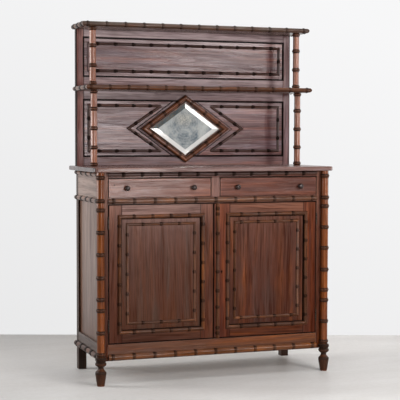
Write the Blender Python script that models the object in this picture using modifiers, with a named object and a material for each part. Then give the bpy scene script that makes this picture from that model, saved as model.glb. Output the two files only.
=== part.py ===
"""Mirror-back cabinet in pitch pine with turned imitation-bamboo trim.

Metres, +Z up. The origin is at the middle of the floor area that the worktop covers.
The front looks along -Y and the back stands towards +Y.
"""

import math

import bmesh
import bpy
from mathutils import Matrix, Vector

# Fit
seat = 0.0003                    # gap between two pieces that touch
overrun = 0.01                   # how far a cutter passes a face
glue_depth = 0.0005              # how far applied trim is let into what carries it
weld = 0.00001                   # points closer than this are one

# Worktop
worktop_front_overhang = 0.0413
worktop_rear_overhang = 0.0165
worktop_side_overhang = 0.0387
worktop_thickness = 0.022
worktop_height = 1.0705          # top face above the floor
worktop_edge_round = 0.004
worktop_corner_round = 0.020
worktop_corner_steps = 3

# Lower case
case_width = 1.2026
case_depth = 0.4812
case_bottom = 0.118              # underside of the bottom rails
rear_leg_size = 0.042
front_post_width = 0.0396
front_post_depth = 0.040
rail_thickness = 0.022
front_top_rail_height = 0.0315
front_mid_rail_height = 0.0304
drawer_height = 0.0962           # opening between the top and the mid rail
front_bottom_rail_height = 0.0824
side_top_rail_height = 0.1545
side_bottom_rail_height = 0.0815
side_panel_recess = 0.0105
side_panel_thickness = 0.008
groove_depth = 0.006
back_board_thickness = 0.010
back_board_inset = 0.004
back_plank_count = 7
back_plank_groove = 0.003
bottom_board_thickness = 0.018
door_stop_height = 0.008         # how far the bottom board rises behind the doors
shelf_thickness = 0.018
shelf_height = 0.548             # top face of the cupboard shelf
shelf_setback = 0.030
cleat_width = 0.034
cleat_height = 0.022
divider_half_width = 0.0218
runner_thickness = 0.018
runner_width = 0.060
runner_back_rail = 0.050
guide_height = 0.030

# Corner columns, turned in one piece with the front feet
column_ahead = 0.0115            # column axis in front of the case's front face
column_aside = 0.0013            # column axis outside the case's side face
column_radius = 0.019
column_knot_radius = 0.0235
column_knot_length = 0.016
column_knot_shares = (0.0115, 0.130, 0.252, 0.3115, 0.429, 0.555, 0.675, 0.796, 0.846, 0.9705)
column_sides = 12
foot_height = 0.145              # up to the column's lowest knot
foot_tip_radius = 0.0187
foot_bulb_radius = 0.0277
foot_neck_radius = 0.0138
foot_collar_radius = 0.0200
foot_ring_radius = 0.0285
foot_shares = (                 # radius, share of the foot's height
    (column_radius, 1),
    (foot_ring_radius, 0.955),
    (foot_ring_radius, 0.897),
    (foot_collar_radius, 0.852),
    (foot_bulb_radius, 0.783),
    (foot_bulb_radius, 0.721),
    (foot_neck_radius, 0.62),
    (foot_bulb_radius, 0.476),
    (foot_bulb_radius, 0.414),
    (foot_tip_radius, 0),
)

# Half-round bamboo trim
cane_arc_steps = 4
knot_rise = 0.0023               # how far a knot stands proud of the cane
knot_length = 0.013
top_cane_radius = 0.0100
mid_cane_radius = 0.0115
bottom_cane_radius = 0.0145
shelf_cane_radius = 0.0115
crown_cane_radius = 0.0120
door_cane_radius = 0.0092
door_inner_cane_radius = 0.0068
panel_cane_radius = 0.0075
mirror_cane_radius = 0.0120
astragal_cane_radius = 0.0095
front_trim_knot_count = 11
side_trim_knot_count = 5
mid_shelf_front_knot_count = 13
mid_shelf_side_knot_count = 3
top_board_front_knot_count = 13
top_board_side_knot_count = 2
top_trim_end_share = 0.069
mid_trim_end_share = 0.024
bottom_trim_end_share = 0.0195
side_trim_end_share = 0.07
mid_shelf_front_end_share = 0.0112
mid_shelf_side_end_share = 0.14
top_board_front_end_share = 0.015
top_board_side_end_share = 0.27

# Doors
door_gap = 0.002
hinge_gap = 0.0031
door_thickness = 0.022
left_hung_stile = 0.0670
left_meeting_stile = 0.0690
right_meeting_stile = 0.0865     # wide enough for the astragal and the lock
right_hung_stile = 0.0705
door_top_rail = 0.0719
door_bottom_rail = 0.0651
door_meeting_offset = -0.0095    # the doors meet a little left of the middle
door_panel_recess = 0.008
door_panel_thickness = 0.012
door_rebate_depth = 0.010
door_rebate_width = 0.008
panel_play = 0.0008
door_trim_inset = 0.012          # trim centre line outside the panel opening
door_inner_side_inset = 0.0300   # inner frame of trim, in from the panel opening
door_inner_top_inset = 0.0275
door_inner_bottom_inset = 0.0315
door_upright_knot_count = 6
door_upright_end_share = 0.078
door_across_knot_count = 4
door_across_end_share = 0.17
inner_upright_knot_count = 5
inner_upright_end_share = 0.10
inner_across_left_knot_count = 3
inner_across_right_knot_count = 4
inner_across_left_end_share = 0.23
inner_across_right_end_share = 0.10
astragal_offset = 0.0205         # astragal centre line from the door's meeting edge
astragal_knot_shares = (0.037, 0.076, 0.23, 0.351, 0.493, 0.633, 0.776, 0.920, 0.960)

# Hinges
hinge_height = 0.060
hinge_centre_shares = (0.13, 0.87)
hinge_leaf_thickness = 0.0011
hinge_leaf_width = 0.018
knuckle_radius = 0.0034
pin_radius = 0.0015
knuckle_share = 1 / 3
knuckle_sides = 8

# Lock in the right door's meeting stile
lock_height_share = 0.491
lock_case_depth = 0.046
lock_case_thickness = 0.011
lock_case_height = 0.060
lock_bolt_length = 0.036
lock_bolt_thickness = 0.005
lock_bolt_height = 0.014
lock_bolt_travel = 0.010
bolt_inset = 0.001
keeper_play = 0.001
keeper_end_play = 0.004

# Drawers
drawer_play = 0.002
drawer_front_thickness = 0.018
drawer_side_thickness = 0.010
drawer_box_drop = 0.010          # box sides end this far under the opening's top
drawer_bottom_thickness = 0.005
drawer_bottom_height = 0.010     # bottom panel above the box's lower edge
drawer_groove = 0.004
drawer_back_clearance = 0.001
knob_offset_share = 0.324
knob_radius = 0.0135
knob_neck_radius = 0.0070
knob_foot_radius = 0.0098
knob_length = 0.024
knob_head_shares = ((0, 1), (0.55, 0.95), (0.92, 0.78), (1, 0.60), (0.86, 0.44))
knob_neck_share = 0.28
knob_spigot_radius = 0.0042
knob_spigot_length = 0.012
knob_sides = 9

# Upper part
upper_back_overhang = 0.0057     # beyond the case's side face
upper_back_thickness = 0.0286
upper_stile_width = 0.0405
upper_top_rail = 0.042
upper_bottom_rail = 0.0485
mid_rail_drop = 0.0463           # middle rail below the middle shelf's underside
mid_rail_rise = 0.0547           # and above its top face
upper_panel_setback = 0.005
upper_panel_front_depth = 0.012
upper_panel_flange = 0.008
upper_rebate_width = 0.010
upper_panel_play = 0.0015
upper_trim_side_inset = 0.0265
upper_trim_rail_inset = 0.0300
upper_across_knot_count = 11
upper_across_end_share = 0.044
lower_trim_side_inset = 0.0280
lower_trim_rail_inset = 0.0278
lower_v_inner = 0.142            # where the slanting strips leave the level ones
lower_v_tip = 0.322
lower_across_shares = (0.155, 0.385, 0.62, 0.86)
lower_upright_shares = (0.29, 0.71)
lower_v_shares = (0.31, 0.78)

# Shelves and their posts
lower_space_height = 0.3903      # worktop to the middle shelf's underside
upper_space_height = 0.2982      # middle shelf to the top board's underside
shelf_board = 0.022
mid_shelf_side_overhang = 0.0012     # beyond the upper back's side face
mid_shelf_depth = 0.2833         # from the case's back
top_board_side_overhang = 0.0079
top_board_depth = 0.2307
post_inset = 0.0427              # post axis inside the upper back's side face
lower_post_setback = 0.0575      # post axis behind the middle shelf's front edge
upper_post_setback = 0.0259      # post axis behind the top board's front edge
post_radius = 0.0162
post_knot_radius = 0.0213
post_knot_length = 0.015
lower_post_shares = (0.026, 0.248, 0.497, 0.750, 0.974)
upper_post_shares = (0.034, 0.337, 0.674, 0.966)
post_sides = 10

# Mirror
mirror_offset = -0.008           # the diamond stands a little left of the middle
mirror_drop = 0.0014             # and a little below the middle of its panel
mirror_slope_share = 0.72        # half height over half width
mirror_sight = 0.1131            # centre to the visible edge of the glass, square to it
mirror_field = 0.1560            # flat diamond board, flush with the upper back's rails
mirror_frame_outer = 0.1474
mirror_trim_line = 0.1347
mirror_frame_thickness = 0.012
mirror_rebate_depth = 0.006
mirror_rebate_width = 0.006
mirror_glass_thickness = 0.005
mirror_glass_edge = 0.0025
mirror_bevel_width = 0.023
mirror_knot_shares = (0.18, 0.52, 0.85)

# Colours: red, green, blue
pine = (0.150, 0.062, 0.038)
pine_panel = (0.125, 0.052, 0.036)
cane = (0.210, 0.085, 0.040)
dark_turning = (0.045, 0.020, 0.012)
raw_pine = (0.360, 0.220, 0.110)
silver = (0.620, 0.640, 0.630)
iron = (0.090, 0.080, 0.070)
brass = (0.420, 0.300, 0.120)

# Places that follow from the sizes above
half_width = case_width / 2
worktop_width = case_width + 2 * worktop_side_overhang
worktop_depth = case_depth + worktop_front_overhang + worktop_rear_overhang
back_face = worktop_depth / 2 - worktop_rear_overhang
front_face = back_face - case_depth
worktop_under = worktop_height - worktop_thickness
post_inner = half_width - front_post_width
leg_inner = half_width - rear_leg_size
post_rear = front_face + front_post_depth
leg_front = back_face - rear_leg_size
rail_rear = front_face + rail_thickness
rail_inner = half_width - rail_thickness
drawer_top = worktop_under - front_top_rail_height
drawer_sill = drawer_top - drawer_height
door_head = drawer_sill - front_mid_rail_height
door_sill = case_bottom + front_bottom_rail_height
side_panel_top = worktop_under - side_top_rail_height
side_panel_bottom = case_bottom + side_bottom_rail_height
column_x = half_width + column_aside
column_y = front_face - column_ahead
board_front = front_face + door_thickness + seat
back_board_front = back_face - back_board_inset - back_board_thickness
door_low = door_sill + door_gap
door_high = door_head - door_gap
hinge_x = post_inner - hinge_gap / 2
hinge_y = front_face - knuckle_radius - seat
upper_front = back_face - upper_back_thickness
upper_half_width = half_width + upper_back_overhang
mid_shelf_under = worktop_height + lower_space_height
mid_shelf_top = mid_shelf_under + shelf_board
top_board_under = mid_shelf_top + upper_space_height
upper_window_low = mid_shelf_top + mid_rail_rise
upper_window_high = top_board_under - seat - upper_top_rail
lower_window_low = worktop_height + seat + upper_bottom_rail
lower_window_high = mid_shelf_under - mid_rail_drop
mirror_height = (lower_window_low + lower_window_high) / 2 - mirror_drop
lock_z = door_low + lock_height_share * (door_high - door_low)
top_trim_z = worktop_under - seat - top_cane_radius - knot_rise
mid_trim_z = drawer_sill - front_mid_rail_height / 2
bottom_trim_z = case_bottom + bottom_cane_radius + knot_rise + seat


def clear_scene():
    for old in list(bpy.data.objects):
        bpy.data.objects.remove(old, do_unlink=True)


def make_collection(name):
    made = bpy.data.collections.new(name)
    bpy.context.scene.collection.children.link(made)
    return made


clear_scene()
parts = make_collection("mirror_back_cabinet")
helpers = make_collection("cutters")


def make_material(name, colour, roughness, metallic=0):
    made = bpy.data.materials.new(name)
    made.use_nodes = True
    shader = made.node_tree.nodes["Principled BSDF"]
    shader.inputs["Base Color"].default_value = (*colour, 1)
    shader.inputs["Roughness"].default_value = roughness
    shader.inputs["Metallic"].default_value = metallic
    return made


finishes = {
    "pine": (pine, 0.40, 0),
    "panel": (pine_panel, 0.42, 0),
    "cane": (cane, 0.34, 0),
    "dark": (dark_turning, 0.35, 0),
    "raw": (raw_pine, 0.75, 0),
    "silver": (silver, 0.06, 1),
    "iron": (iron, 0.55, 1),
    "brass": (brass, 0.40, 1),
}


def add_object(name, mesh, place, finish=None, carrier=None):
    """A part when it has a finish, else a helper shape that is joined to or cut from a part."""
    made = bpy.data.objects.new(name, mesh)
    made.location = Vector(place)
    if carrier is not None:
        made.parent = carrier
        made.location = Vector(place) - carrier.location
    if finish is None:
        helpers.objects.link(made)
        made.hide_render = True
        made.display_type = "WIRE"
    else:
        parts.objects.link(made)
        mesh.materials.append(make_material(name, *finishes[finish]))
    return made


def mesh_from(bm, name):
    bmesh.ops.recalc_face_normals(bm, faces=bm.faces)
    mesh = bpy.data.meshes.new(name)
    bm.to_mesh(mesh)
    bm.free()
    return mesh


def box(name, low, high, finish=None, carrier=None):
    """A board between two corners; its origin is its middle."""
    low = Vector(low)
    high = Vector(high)
    size = high - low
    bm = bmesh.new()
    bmesh.ops.create_cube(bm, size=1)
    bmesh.ops.scale(bm, vec=size, verts=bm.verts)
    return add_object(name, mesh_from(bm, name), (low + high) / 2, finish, carrier)


def boolean(target, other, operation):
    step = target.modifiers.new(other.name, "BOOLEAN")
    step.operation = operation
    step.object = other
    step.solver = "EXACT"


def cut(target, other):
    boolean(target, other, "DIFFERENCE")


def join(target, other):
    boolean(target, other, "UNION")


def round_edges(target, width):
    step = target.modifiers.new("rounded_edges", "BEVEL")
    step.width = width
    step.segments = 2
    step.limit_method = "ANGLE"


def turned(name, profile, place, sides, finish=None, carrier=None, along="Z"):
    """A profile of (radius, height) points, top to bottom, turned about its axis."""
    mesh = bpy.data.meshes.new(name)
    points = [(radius, 0, height) for radius, height in profile]
    mesh.from_pydata(points, [(i, i + 1) for i in range(len(points) - 1)], [])
    made = add_object(name, mesh, place, finish, carrier)
    step = made.modifiers.new("turning", "SCREW")
    step.axis = "Z"
    step.steps = sides
    step.render_steps = sides
    step.use_merge_vertices = True
    step.merge_threshold = weld
    step.use_smooth_shade = True
    if along == "-Y":
        made.rotation_euler = (math.pi / 2, 0, 0)
    return made


def cane_profile(length, radius, crest, knot, shares):
    """Points of a bamboo turning, top to bottom, with a knot at each share of its length."""
    points = [(0, length), (radius, length)]
    for share in sorted(shares, reverse=True):
        middle = share * length
        points.append((radius, min(length, middle + knot / 2)))
        points.append((crest, middle))
        points.append((radius, max(0, middle - knot / 2)))
    points += [(radius, 0), (0, 0)]
    return [p for i, p in enumerate(points) if i == 0 or p != points[i - 1]]


def even_shares(count, end_share):
    if count == 1:
        return [1 / 2]
    return [end_share + (1 - 2 * end_share) * i / (count - 1) for i in range(count)]


def corner_tangent(before, after):
    """Tangent of half the angle by which a path turns."""
    return (after - before).length / (after + before).length


def half_round(name, path, normal, radius, knots, closed=False, on_edge=False):
    """Half-round canes with knots along a path, mitred where it turns and welded there.

    The path lies in the plane square to the normal. The flat back faces against the normal,
    or, on an edge, towards the inside of the path.
    """
    path = [Vector(p) for p in path]
    normal = Vector(normal)
    origin = path[0]
    count = len(path) if closed else len(path) - 1
    along = [(path[(i + 1) % len(path)] - path[i]).normalized() for i in range(count)]
    bm = bmesh.new()
    for i in range(count):
        start = path[i]
        end = path[(i + 1) % len(path)]
        before = along[i - 1] if closed or i > 0 else None
        after = along[(i + 1) % count] if closed or i < count - 1 else None
        extra_start = 0 if before is None else 2 * radius * corner_tangent(before, along[i])
        extra_end = 0 if after is None else 2 * radius * corner_tangent(along[i], after)
        run = (end - start).length
        length = run + extra_start + extra_end
        shares = [(share * run + extra_start) / length for share in knots[i]]
        profile = cane_profile(length, radius, radius + knot_rise, knot_length, shares)

        cane = bmesh.new()
        face = cane.faces.new([cane.verts.new((r, 0, height)) for r, height in profile])
        bmesh.ops.spin(
            cane, geom=[face, *face.edges, *face.verts], cent=(0, 0, 0), axis=(0, 0, 1),
            dvec=(0, 0, 0), angle=math.pi, steps=cane_arc_steps,
        )
        bmesh.ops.remove_doubles(cane, verts=cane.verts, dist=weld)
        out = along[i].cross(normal) if on_edge else normal
        turn = Matrix((out.cross(along[i]), out, along[i])).transposed().to_4x4()
        shift = Matrix.Translation(start - along[i] * extra_start - origin)
        bmesh.ops.transform(cane, matrix=shift @ turn, verts=cane.verts)
        for place, other, wanted in ((start, before, "clear_inner"), (end, after, "clear_outer")):
            if other is not None:
                bmesh.ops.bisect_plane(
                    cane, geom=[*cane.verts, *cane.edges, *cane.faces], plane_co=place - origin,
                    plane_no=along[i] + other, **{wanted: True},
                )
        piece = bpy.data.meshes.new(name)
        cane.to_mesh(piece)
        cane.free()
        bm.from_mesh(piece)
        bpy.data.meshes.remove(piece)
    bmesh.ops.remove_doubles(bm, verts=bm.verts, dist=weld)
    return mesh_from(bm, name), origin


def trim_on(target, name, path, normal, radius, knots, closed=False, on_edge=False):
    """Half-round trim let into the part that carries it and joined to it."""
    mesh, origin = half_round(name, path, normal, radius, knots, closed, on_edge)
    strip = add_object(name, mesh, origin)
    join(target, strip)
    return strip


def diamond(distance):
    """Half width and half height of the diamond whose sides lie this far from its middle."""
    half = distance * math.hypot(1, mirror_slope_share) / mirror_slope_share
    return half, half * mirror_slope_share


def diamond_block(name, distance, rear, front, finish=None, bevel=None):
    """A diamond slab in the mirror's place; a bevel is its width and its rise."""
    half, rise = diamond(distance)
    bm = bmesh.new()
    bmesh.ops.create_cone(bm, cap_ends=True, segments=4, radius1=1, radius2=1, depth=rear - front)
    bmesh.ops.rotate(bm, cent=(0, 0, 0), matrix=Matrix.Rotation(math.pi / 2, 3, "X"), verts=bm.verts)
    bmesh.ops.scale(bm, vec=(half, 1, rise), verts=bm.verts)
    if bevel is not None:
        width, height = bevel
        face = min(bm.faces, key=lambda f: f.calc_center_median().y)
        bmesh.ops.inset_region(bm, faces=[face], thickness=width, depth=height, use_even_offset=True)
    place = (mirror_offset, upper_front + (rear + front) / 2, mirror_height)
    return add_object(name, mesh_from(bm, name), place, finish)


def make_axis(name, place):
    """An empty on a joint's axis; what moves with the joint hangs on it."""
    made = bpy.data.objects.new(name, None)
    made.location = Vector(place)
    made.empty_display_size = knob_length
    parts.objects.link(made)
    return made


sides = (("left", -1), ("right", 1))


def across(sign, near, far):
    """Lower and upper X of a span given as distances from the middle."""
    return (near, far) if sign > 0 else (-far, -near)


def mirrored_box(name, sign, near, far, low_y, high_y, low_z, high_z, finish=None, carrier=None):
    low_x, high_x = across(sign, near, far)
    return box(name, (low_x, low_y, low_z), (high_x, high_y, high_z), finish, carrier)


# Lower case


def make_worktop():
    bm = bmesh.new()
    bmesh.ops.create_cube(bm, size=1)
    bmesh.ops.scale(bm, vec=(worktop_width, worktop_depth, worktop_thickness), verts=bm.verts)
    upright = [edge for edge in bm.edges if edge.verts[0].co.xy == edge.verts[1].co.xy]
    bmesh.ops.bevel(
        bm, geom=upright, offset=worktop_corner_round, offset_type="OFFSET",
        segments=worktop_corner_steps, profile=1 / 2, affect="EDGES",
    )
    top = add_object("worktop", mesh_from(bm, "worktop"), (0, 0, worktop_height - worktop_thickness / 2), "pine")
    round_edges(top, worktop_edge_round)


def side_panel_span():
    """Front, back, bottom and top of a side panel, with the tongues in the grooves."""
    return (
        post_rear - groove_depth,
        leg_front + groove_depth,
        side_panel_bottom - groove_depth,
        side_panel_top + groove_depth,
    )


def make_side(label, sign):
    """Rear leg, front post, two rails and the panel that they hold in grooves."""
    head = worktop_under - seat
    leg = mirrored_box(f"rear_leg_{label}", sign, leg_inner, half_width, leg_front, back_face, 0, head, "pine")
    post = mirrored_box(
        f"front_post_{label}", sign, post_inner, half_width,
        front_face, post_rear, case_bottom, head, "pine",
    )
    top = mirrored_box(
        f"side_top_rail_{label}", sign, rail_inner, half_width,
        post_rear + seat, leg_front - seat, side_panel_top, head, "pine",
    )
    bottom = mirrored_box(
        f"side_bottom_rail_{label}", sign, rail_inner, half_width,
        post_rear + seat, leg_front - seat, case_bottom, side_panel_bottom, "pine",
    )
    outer = half_width - side_panel_recess
    inner = outer - side_panel_thickness
    y0, y1, z0, z1 = side_panel_span()
    mirrored_box(f"side_panel_{label}", sign, inner, outer, y0, y1, z0, z1, "panel")
    groove = mirrored_box(
        f"groove_{label}", sign, inner - seat, outer + seat,
        y0 - seat, y1 + seat, z0 - seat, z1 + seat,
    )
    for member in (leg, post, top, bottom):
        cut(member, groove)
    side_trim(label, sign, top, "under_top", top_trim_z, top_cane_radius, column_knot_radius)
    side_trim(label, sign, top, "mid", mid_trim_z, mid_cane_radius, column_knot_radius)
    side_trim(label, sign, bottom, "bottom", bottom_trim_z, bottom_cane_radius, foot_ring_radius)
    mirrored_box(
        f"shelf_cleat_{label}", sign, inner - seat - cleat_width, inner - seat,
        post_rear + seat, leg_front - seat,
        shelf_height - shelf_thickness - seat - cleat_height, shelf_height - shelf_thickness - seat, "raw",
    )


def side_trim(label, sign, rail, level, height, radius, clear):
    """A strip along the side, from the column to the back, glued to the rail only."""
    face = half_width + seat
    start = Vector((sign * face, column_y + clear + seat, height))
    end = Vector((sign * face, back_face, height))
    knots = [even_shares(side_trim_knot_count, side_trim_end_share)]
    trim_name = f"side_{level}_trim_{label}"
    bed = mirrored_box(
        f"{trim_name}_bed", sign, half_width - glue_depth, face + glue_depth,
        post_rear + rail_thickness, leg_front - rail_thickness, height - radius / 2, height + radius / 2,
    )
    join(rail, bed)
    trim_on(rail, trim_name, (start, end), (sign, 0, 0), radius, knots)


def make_column(label, sign):
    """Corner column: a turning with its foot, notched over the post's corner."""
    length = worktop_under - seat - foot_height
    cane = cane_profile(length, column_radius, column_knot_radius, column_knot_length, column_knot_shares)
    profile = [(radius, height + foot_height) for radius, height in cane[:-2]]
    profile += [(radius, share * foot_height) for radius, share in foot_shares]
    profile.append((0, 0))
    column = turned(
        f"front_column_{label}", profile, (sign * column_x, column_y, 0), column_sides, "cane",
    )
    notch = mirrored_box(
        f"column_notch_{label}", sign, column_x - foot_ring_radius - overrun, half_width + seat,
        front_face - seat, column_y + foot_ring_radius + overrun, case_bottom - seat, worktop_under + overrun,
    )
    cut(column, notch)


def front_rail(name, low, high, height, radius, end_share):
    """A rail between the posts with a half-round strip along its front."""
    reach = post_inner - seat
    rail = box(name, (-reach, front_face, low), (reach, rail_rear, high), "pine")
    y = front_face + glue_depth
    path = ((-reach, y, height), (reach, y, height))
    shares = even_shares(front_trim_knot_count, end_share)
    trim_on(rail, f"{name}_trim", path, (0, -1, 0), radius, [shares])


def make_front():
    front_rail(
        "front_top_rail", drawer_top, worktop_under - seat, top_trim_z, top_cane_radius, top_trim_end_share,
    )
    front_rail(
        "front_mid_rail", door_head, drawer_sill, mid_trim_z, mid_cane_radius, mid_trim_end_share,
    )
    front_rail(
        "front_bottom_rail", case_bottom, door_sill, bottom_trim_z, bottom_cane_radius,
        bottom_trim_end_share,
    )
    box(
        "drawer_divider", (-divider_half_width, front_face, drawer_sill + seat),
        (divider_half_width, rail_rear, drawer_top - seat), "pine",
    )


def cut_round_legs(board, name):
    """Cuts a board's corners round the posts and the legs."""
    for label, sign in sides:
        post = mirrored_box(
            f"{name}_post_notch_{label}", sign, post_inner - seat, half_width + overrun,
            front_face - overrun, post_rear + seat, 0, worktop_height,
        )
        leg = mirrored_box(
            f"{name}_leg_notch_{label}", sign, leg_inner - seat, half_width + overrun,
            leg_front - seat, back_face + overrun, 0, worktop_height,
        )
        cut(board, post)
        cut(board, leg)


def make_inside():
    """Bottom, shelf, the frame that the drawers run on, and the back."""
    reach = rail_inner - seat
    rear = back_board_front - seat
    bottom_top = door_low + door_stop_height
    bottom = box(
        "bottom_board", (-reach, board_front, bottom_top - bottom_board_thickness),
        (reach, rear, bottom_top), "raw",
    )
    cut_round_legs(bottom, "bottom_board")
    shelf = box(
        "cupboard_shelf", (-reach, board_front + shelf_setback, shelf_height - shelf_thickness),
        (reach, rear, shelf_height), "raw",
    )
    cut_round_legs(shelf, "cupboard_shelf")
    frame = box(
        "drawer_runner_frame", (-reach, rail_rear + seat, drawer_sill - runner_thickness),
        (reach, rear, drawer_sill), "raw",
    )
    cut_round_legs(frame, "runner_frame")
    for label, sign in sides:
        opening = mirrored_box(
            f"runner_opening_{label}", sign, runner_width / 2, post_inner - runner_width,
            rail_rear + runner_back_rail, rear - runner_back_rail,
            drawer_sill - runner_thickness - overrun, drawer_sill + overrun,
        )
        cut(frame, opening)
    guide = box(
        "drawer_guide",
        (-divider_half_width, rail_rear + seat, drawer_sill - glue_depth),
        (divider_half_width, rear, drawer_sill + guide_height),
    )
    join(frame, guide)
    back = box(
        "base_back", (-leg_inner + seat, back_board_front, case_bottom),
        (leg_inner - seat, back_face - back_board_inset, worktop_under - seat), "raw",
    )
    for i in range(1, back_plank_count):
        middle = -leg_inner + 2 * leg_inner * i / back_plank_count
        groove = box(
            f"plank_groove_{i}",
            (middle - back_plank_groove / 2, back_face - back_board_inset - back_plank_groove, -overrun),
            (middle + back_plank_groove / 2, back_face + overrun, worktop_height),
        )
        cut(back, groove)


# Drawers


def make_drawer(label, sign):
    """Front with two knobs, a three-sided box and a bottom that slides into grooves."""
    near = divider_half_width + drawer_play
    far = post_inner - drawer_play
    middle = sign * (near + far) / 2
    axis = make_axis(f"drawer_{label}_slide", (middle, front_face, drawer_sill))
    front_back = front_face + drawer_front_thickness
    front = mirrored_box(
        f"drawer_{label}_front", sign, near, far, front_face, front_back,
        drawer_sill + drawer_play / 2, drawer_top - drawer_play / 2, "pine", axis,
    )
    box_near = near + drawer_play / 2
    box_far = min(far, leg_inner) - drawer_play / 2
    box_low = drawer_sill + seat
    box_high = drawer_top - drawer_box_drop
    box_front = front_back + seat
    box_rear = back_board_front - drawer_back_clearance
    case = mirrored_box(
        f"drawer_{label}_box", sign, box_near, box_far, box_front, box_rear,
        box_low, box_high, "raw", axis,
    )
    hollow = mirrored_box(
        f"drawer_{label}_hollow", sign, box_near + drawer_side_thickness, box_far - drawer_side_thickness,
        box_front - overrun, box_rear - drawer_side_thickness, box_low - overrun, box_high + overrun,
    )
    cut(case, hollow)
    bottom_low = box_low + drawer_bottom_height
    bottom_near = box_near + drawer_side_thickness - drawer_groove
    bottom_far = box_far - drawer_side_thickness + drawer_groove
    bottom_front = front_back - drawer_groove
    bottom_rear = box_rear - drawer_side_thickness + drawer_groove
    mirrored_box(
        f"drawer_{label}_bottom", sign, bottom_near, bottom_far, bottom_front, bottom_rear,
        bottom_low, bottom_low + drawer_bottom_thickness, "raw", axis,
    )
    groove = mirrored_box(
        f"drawer_{label}_groove", sign, bottom_near - seat, bottom_far + seat,
        bottom_front - seat, bottom_rear + seat,
        bottom_low - seat, bottom_low + drawer_bottom_thickness + seat,
    )
    cut(case, groove)
    cut(front, groove)
    offset = knob_offset_share * (far - near)
    for end, way in sides:
        place = Vector((middle + way * offset, front_face, (drawer_sill + drawer_top) / 2))
        make_knob(f"drawer_{label}_knob_{end}", place, axis)
        hole = turned(
            f"drawer_{label}_knob_hole_{end}",
            (
                (0, overrun),
                (knob_spigot_radius + seat, overrun),
                (knob_spigot_radius + seat, -knob_spigot_length - seat),
                (0, -knob_spigot_length - seat),
            ),
            place, knob_sides, along="-Y",
        )
        cut(front, hole)


def make_knob(name, place, axis):
    """A turned knob: domed face, narrow neck, flared base and a spigot in the drawer front."""
    profile = [(knob_radius * wide, knob_length * high) for wide, high in knob_head_shares]
    profile += [
        (knob_neck_radius, knob_length * knob_neck_share),
        (knob_foot_radius, seat),
        (knob_spigot_radius, seat),
        (knob_spigot_radius, -knob_spigot_length),
        (0, -knob_spigot_length),
    ]
    turned(name, profile, place, knob_sides, "dark", axis, along="-Y")


# Doors


def rectangle(low_x, high_x, low_z, high_z, y):
    return [
        Vector((low_x, y, low_z)),
        Vector((high_x, y, low_z)),
        Vector((high_x, y, high_z)),
        Vector((low_x, y, high_z)),
    ]


def make_door(label, sign):
    """Frame with a rebated panel, two frames of trim and, on the right, the astragal."""
    axis = make_axis(f"door_{label}_hinge_axis", (sign * hinge_x, hinge_y, (door_low + door_high) / 2))
    hung = sign * (post_inner - hinge_gap)
    meeting = door_meeting_offset + sign * door_gap / 2
    x0 = min(hung, meeting)
    x1 = max(hung, meeting)
    rear = front_face + door_thickness
    frame = box(
        f"door_{label}_frame", (x0, front_face, door_low), (x1, rear, door_high), "pine", axis,
    )
    open_x0 = x0 + (left_hung_stile if sign < 0 else right_meeting_stile)
    open_x1 = x1 - (left_meeting_stile if sign < 0 else right_hung_stile)
    open_z0 = door_low + door_bottom_rail
    open_z1 = door_high - door_top_rail
    opening = box(
        f"door_{label}_opening", (open_x0, front_face - overrun, open_z0),
        (open_x1, rear + overrun, open_z1),
    )
    cut(frame, opening)
    ledge = front_face + door_thickness - door_rebate_depth
    rebate = box(
        f"door_{label}_rebate", (open_x0 - door_rebate_width, ledge, open_z0 - door_rebate_width),
        (open_x1 + door_rebate_width, rear + overrun, open_z1 + door_rebate_width),
    )
    cut(frame, rebate)

    face = front_face + door_panel_recess
    panel_rear = face + door_panel_thickness
    panel = box(
        f"door_{label}_panel", (open_x0 + panel_play, face, open_z0 + panel_play),
        (open_x1 - panel_play, panel_rear, open_z1 - panel_play), "panel", axis,
    )
    grip = door_rebate_width - panel_play
    tongue = box(
        f"door_{label}_tongue", (open_x0 - grip, ledge + seat, open_z0 - grip),
        (open_x1 + grip, panel_rear - glue_depth, open_z1 + grip),
    )
    join(panel, tongue)

    outer = rectangle(
        open_x0 - door_trim_inset, open_x1 + door_trim_inset,
        open_z0 - door_trim_inset, open_z1 + door_trim_inset, front_face - seat,
    )
    across_shares = even_shares(door_across_knot_count, door_across_end_share)
    upright_shares = even_shares(door_upright_knot_count, door_upright_end_share)
    mesh, origin = half_round(
        f"door_{label}_trim", outer, (0, -1, 0), door_cane_radius,
        (across_shares, upright_shares, across_shares, upright_shares), closed=True,
    )
    add_object(f"door_{label}_trim", mesh, origin, "cane", axis)

    inner = rectangle(
        open_x0 + door_inner_side_inset, open_x1 - door_inner_side_inset,
        open_z0 + door_inner_bottom_inset, open_z1 - door_inner_top_inset, face + glue_depth,
    )
    if sign < 0:
        shares = even_shares(inner_across_left_knot_count, inner_across_left_end_share)
    else:
        shares = even_shares(inner_across_right_knot_count, inner_across_right_end_share)
    uprights = even_shares(inner_upright_knot_count, inner_upright_end_share)
    trim_on(
        panel, f"door_{label}_inner_trim", inner, (0, -1, 0), door_inner_cane_radius,
        (shares, uprights, shares, uprights), closed=True,
    )
    return axis, frame, meeting


def add_astragal(frame, meeting):
    middle = meeting + astragal_offset
    y = front_face + glue_depth
    path = ((middle, y, door_low + glue_depth), (middle, y, door_high - glue_depth))
    trim_on(frame, "astragal", path, (0, -1, 0), astragal_cane_radius, [astragal_knot_shares])


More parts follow.
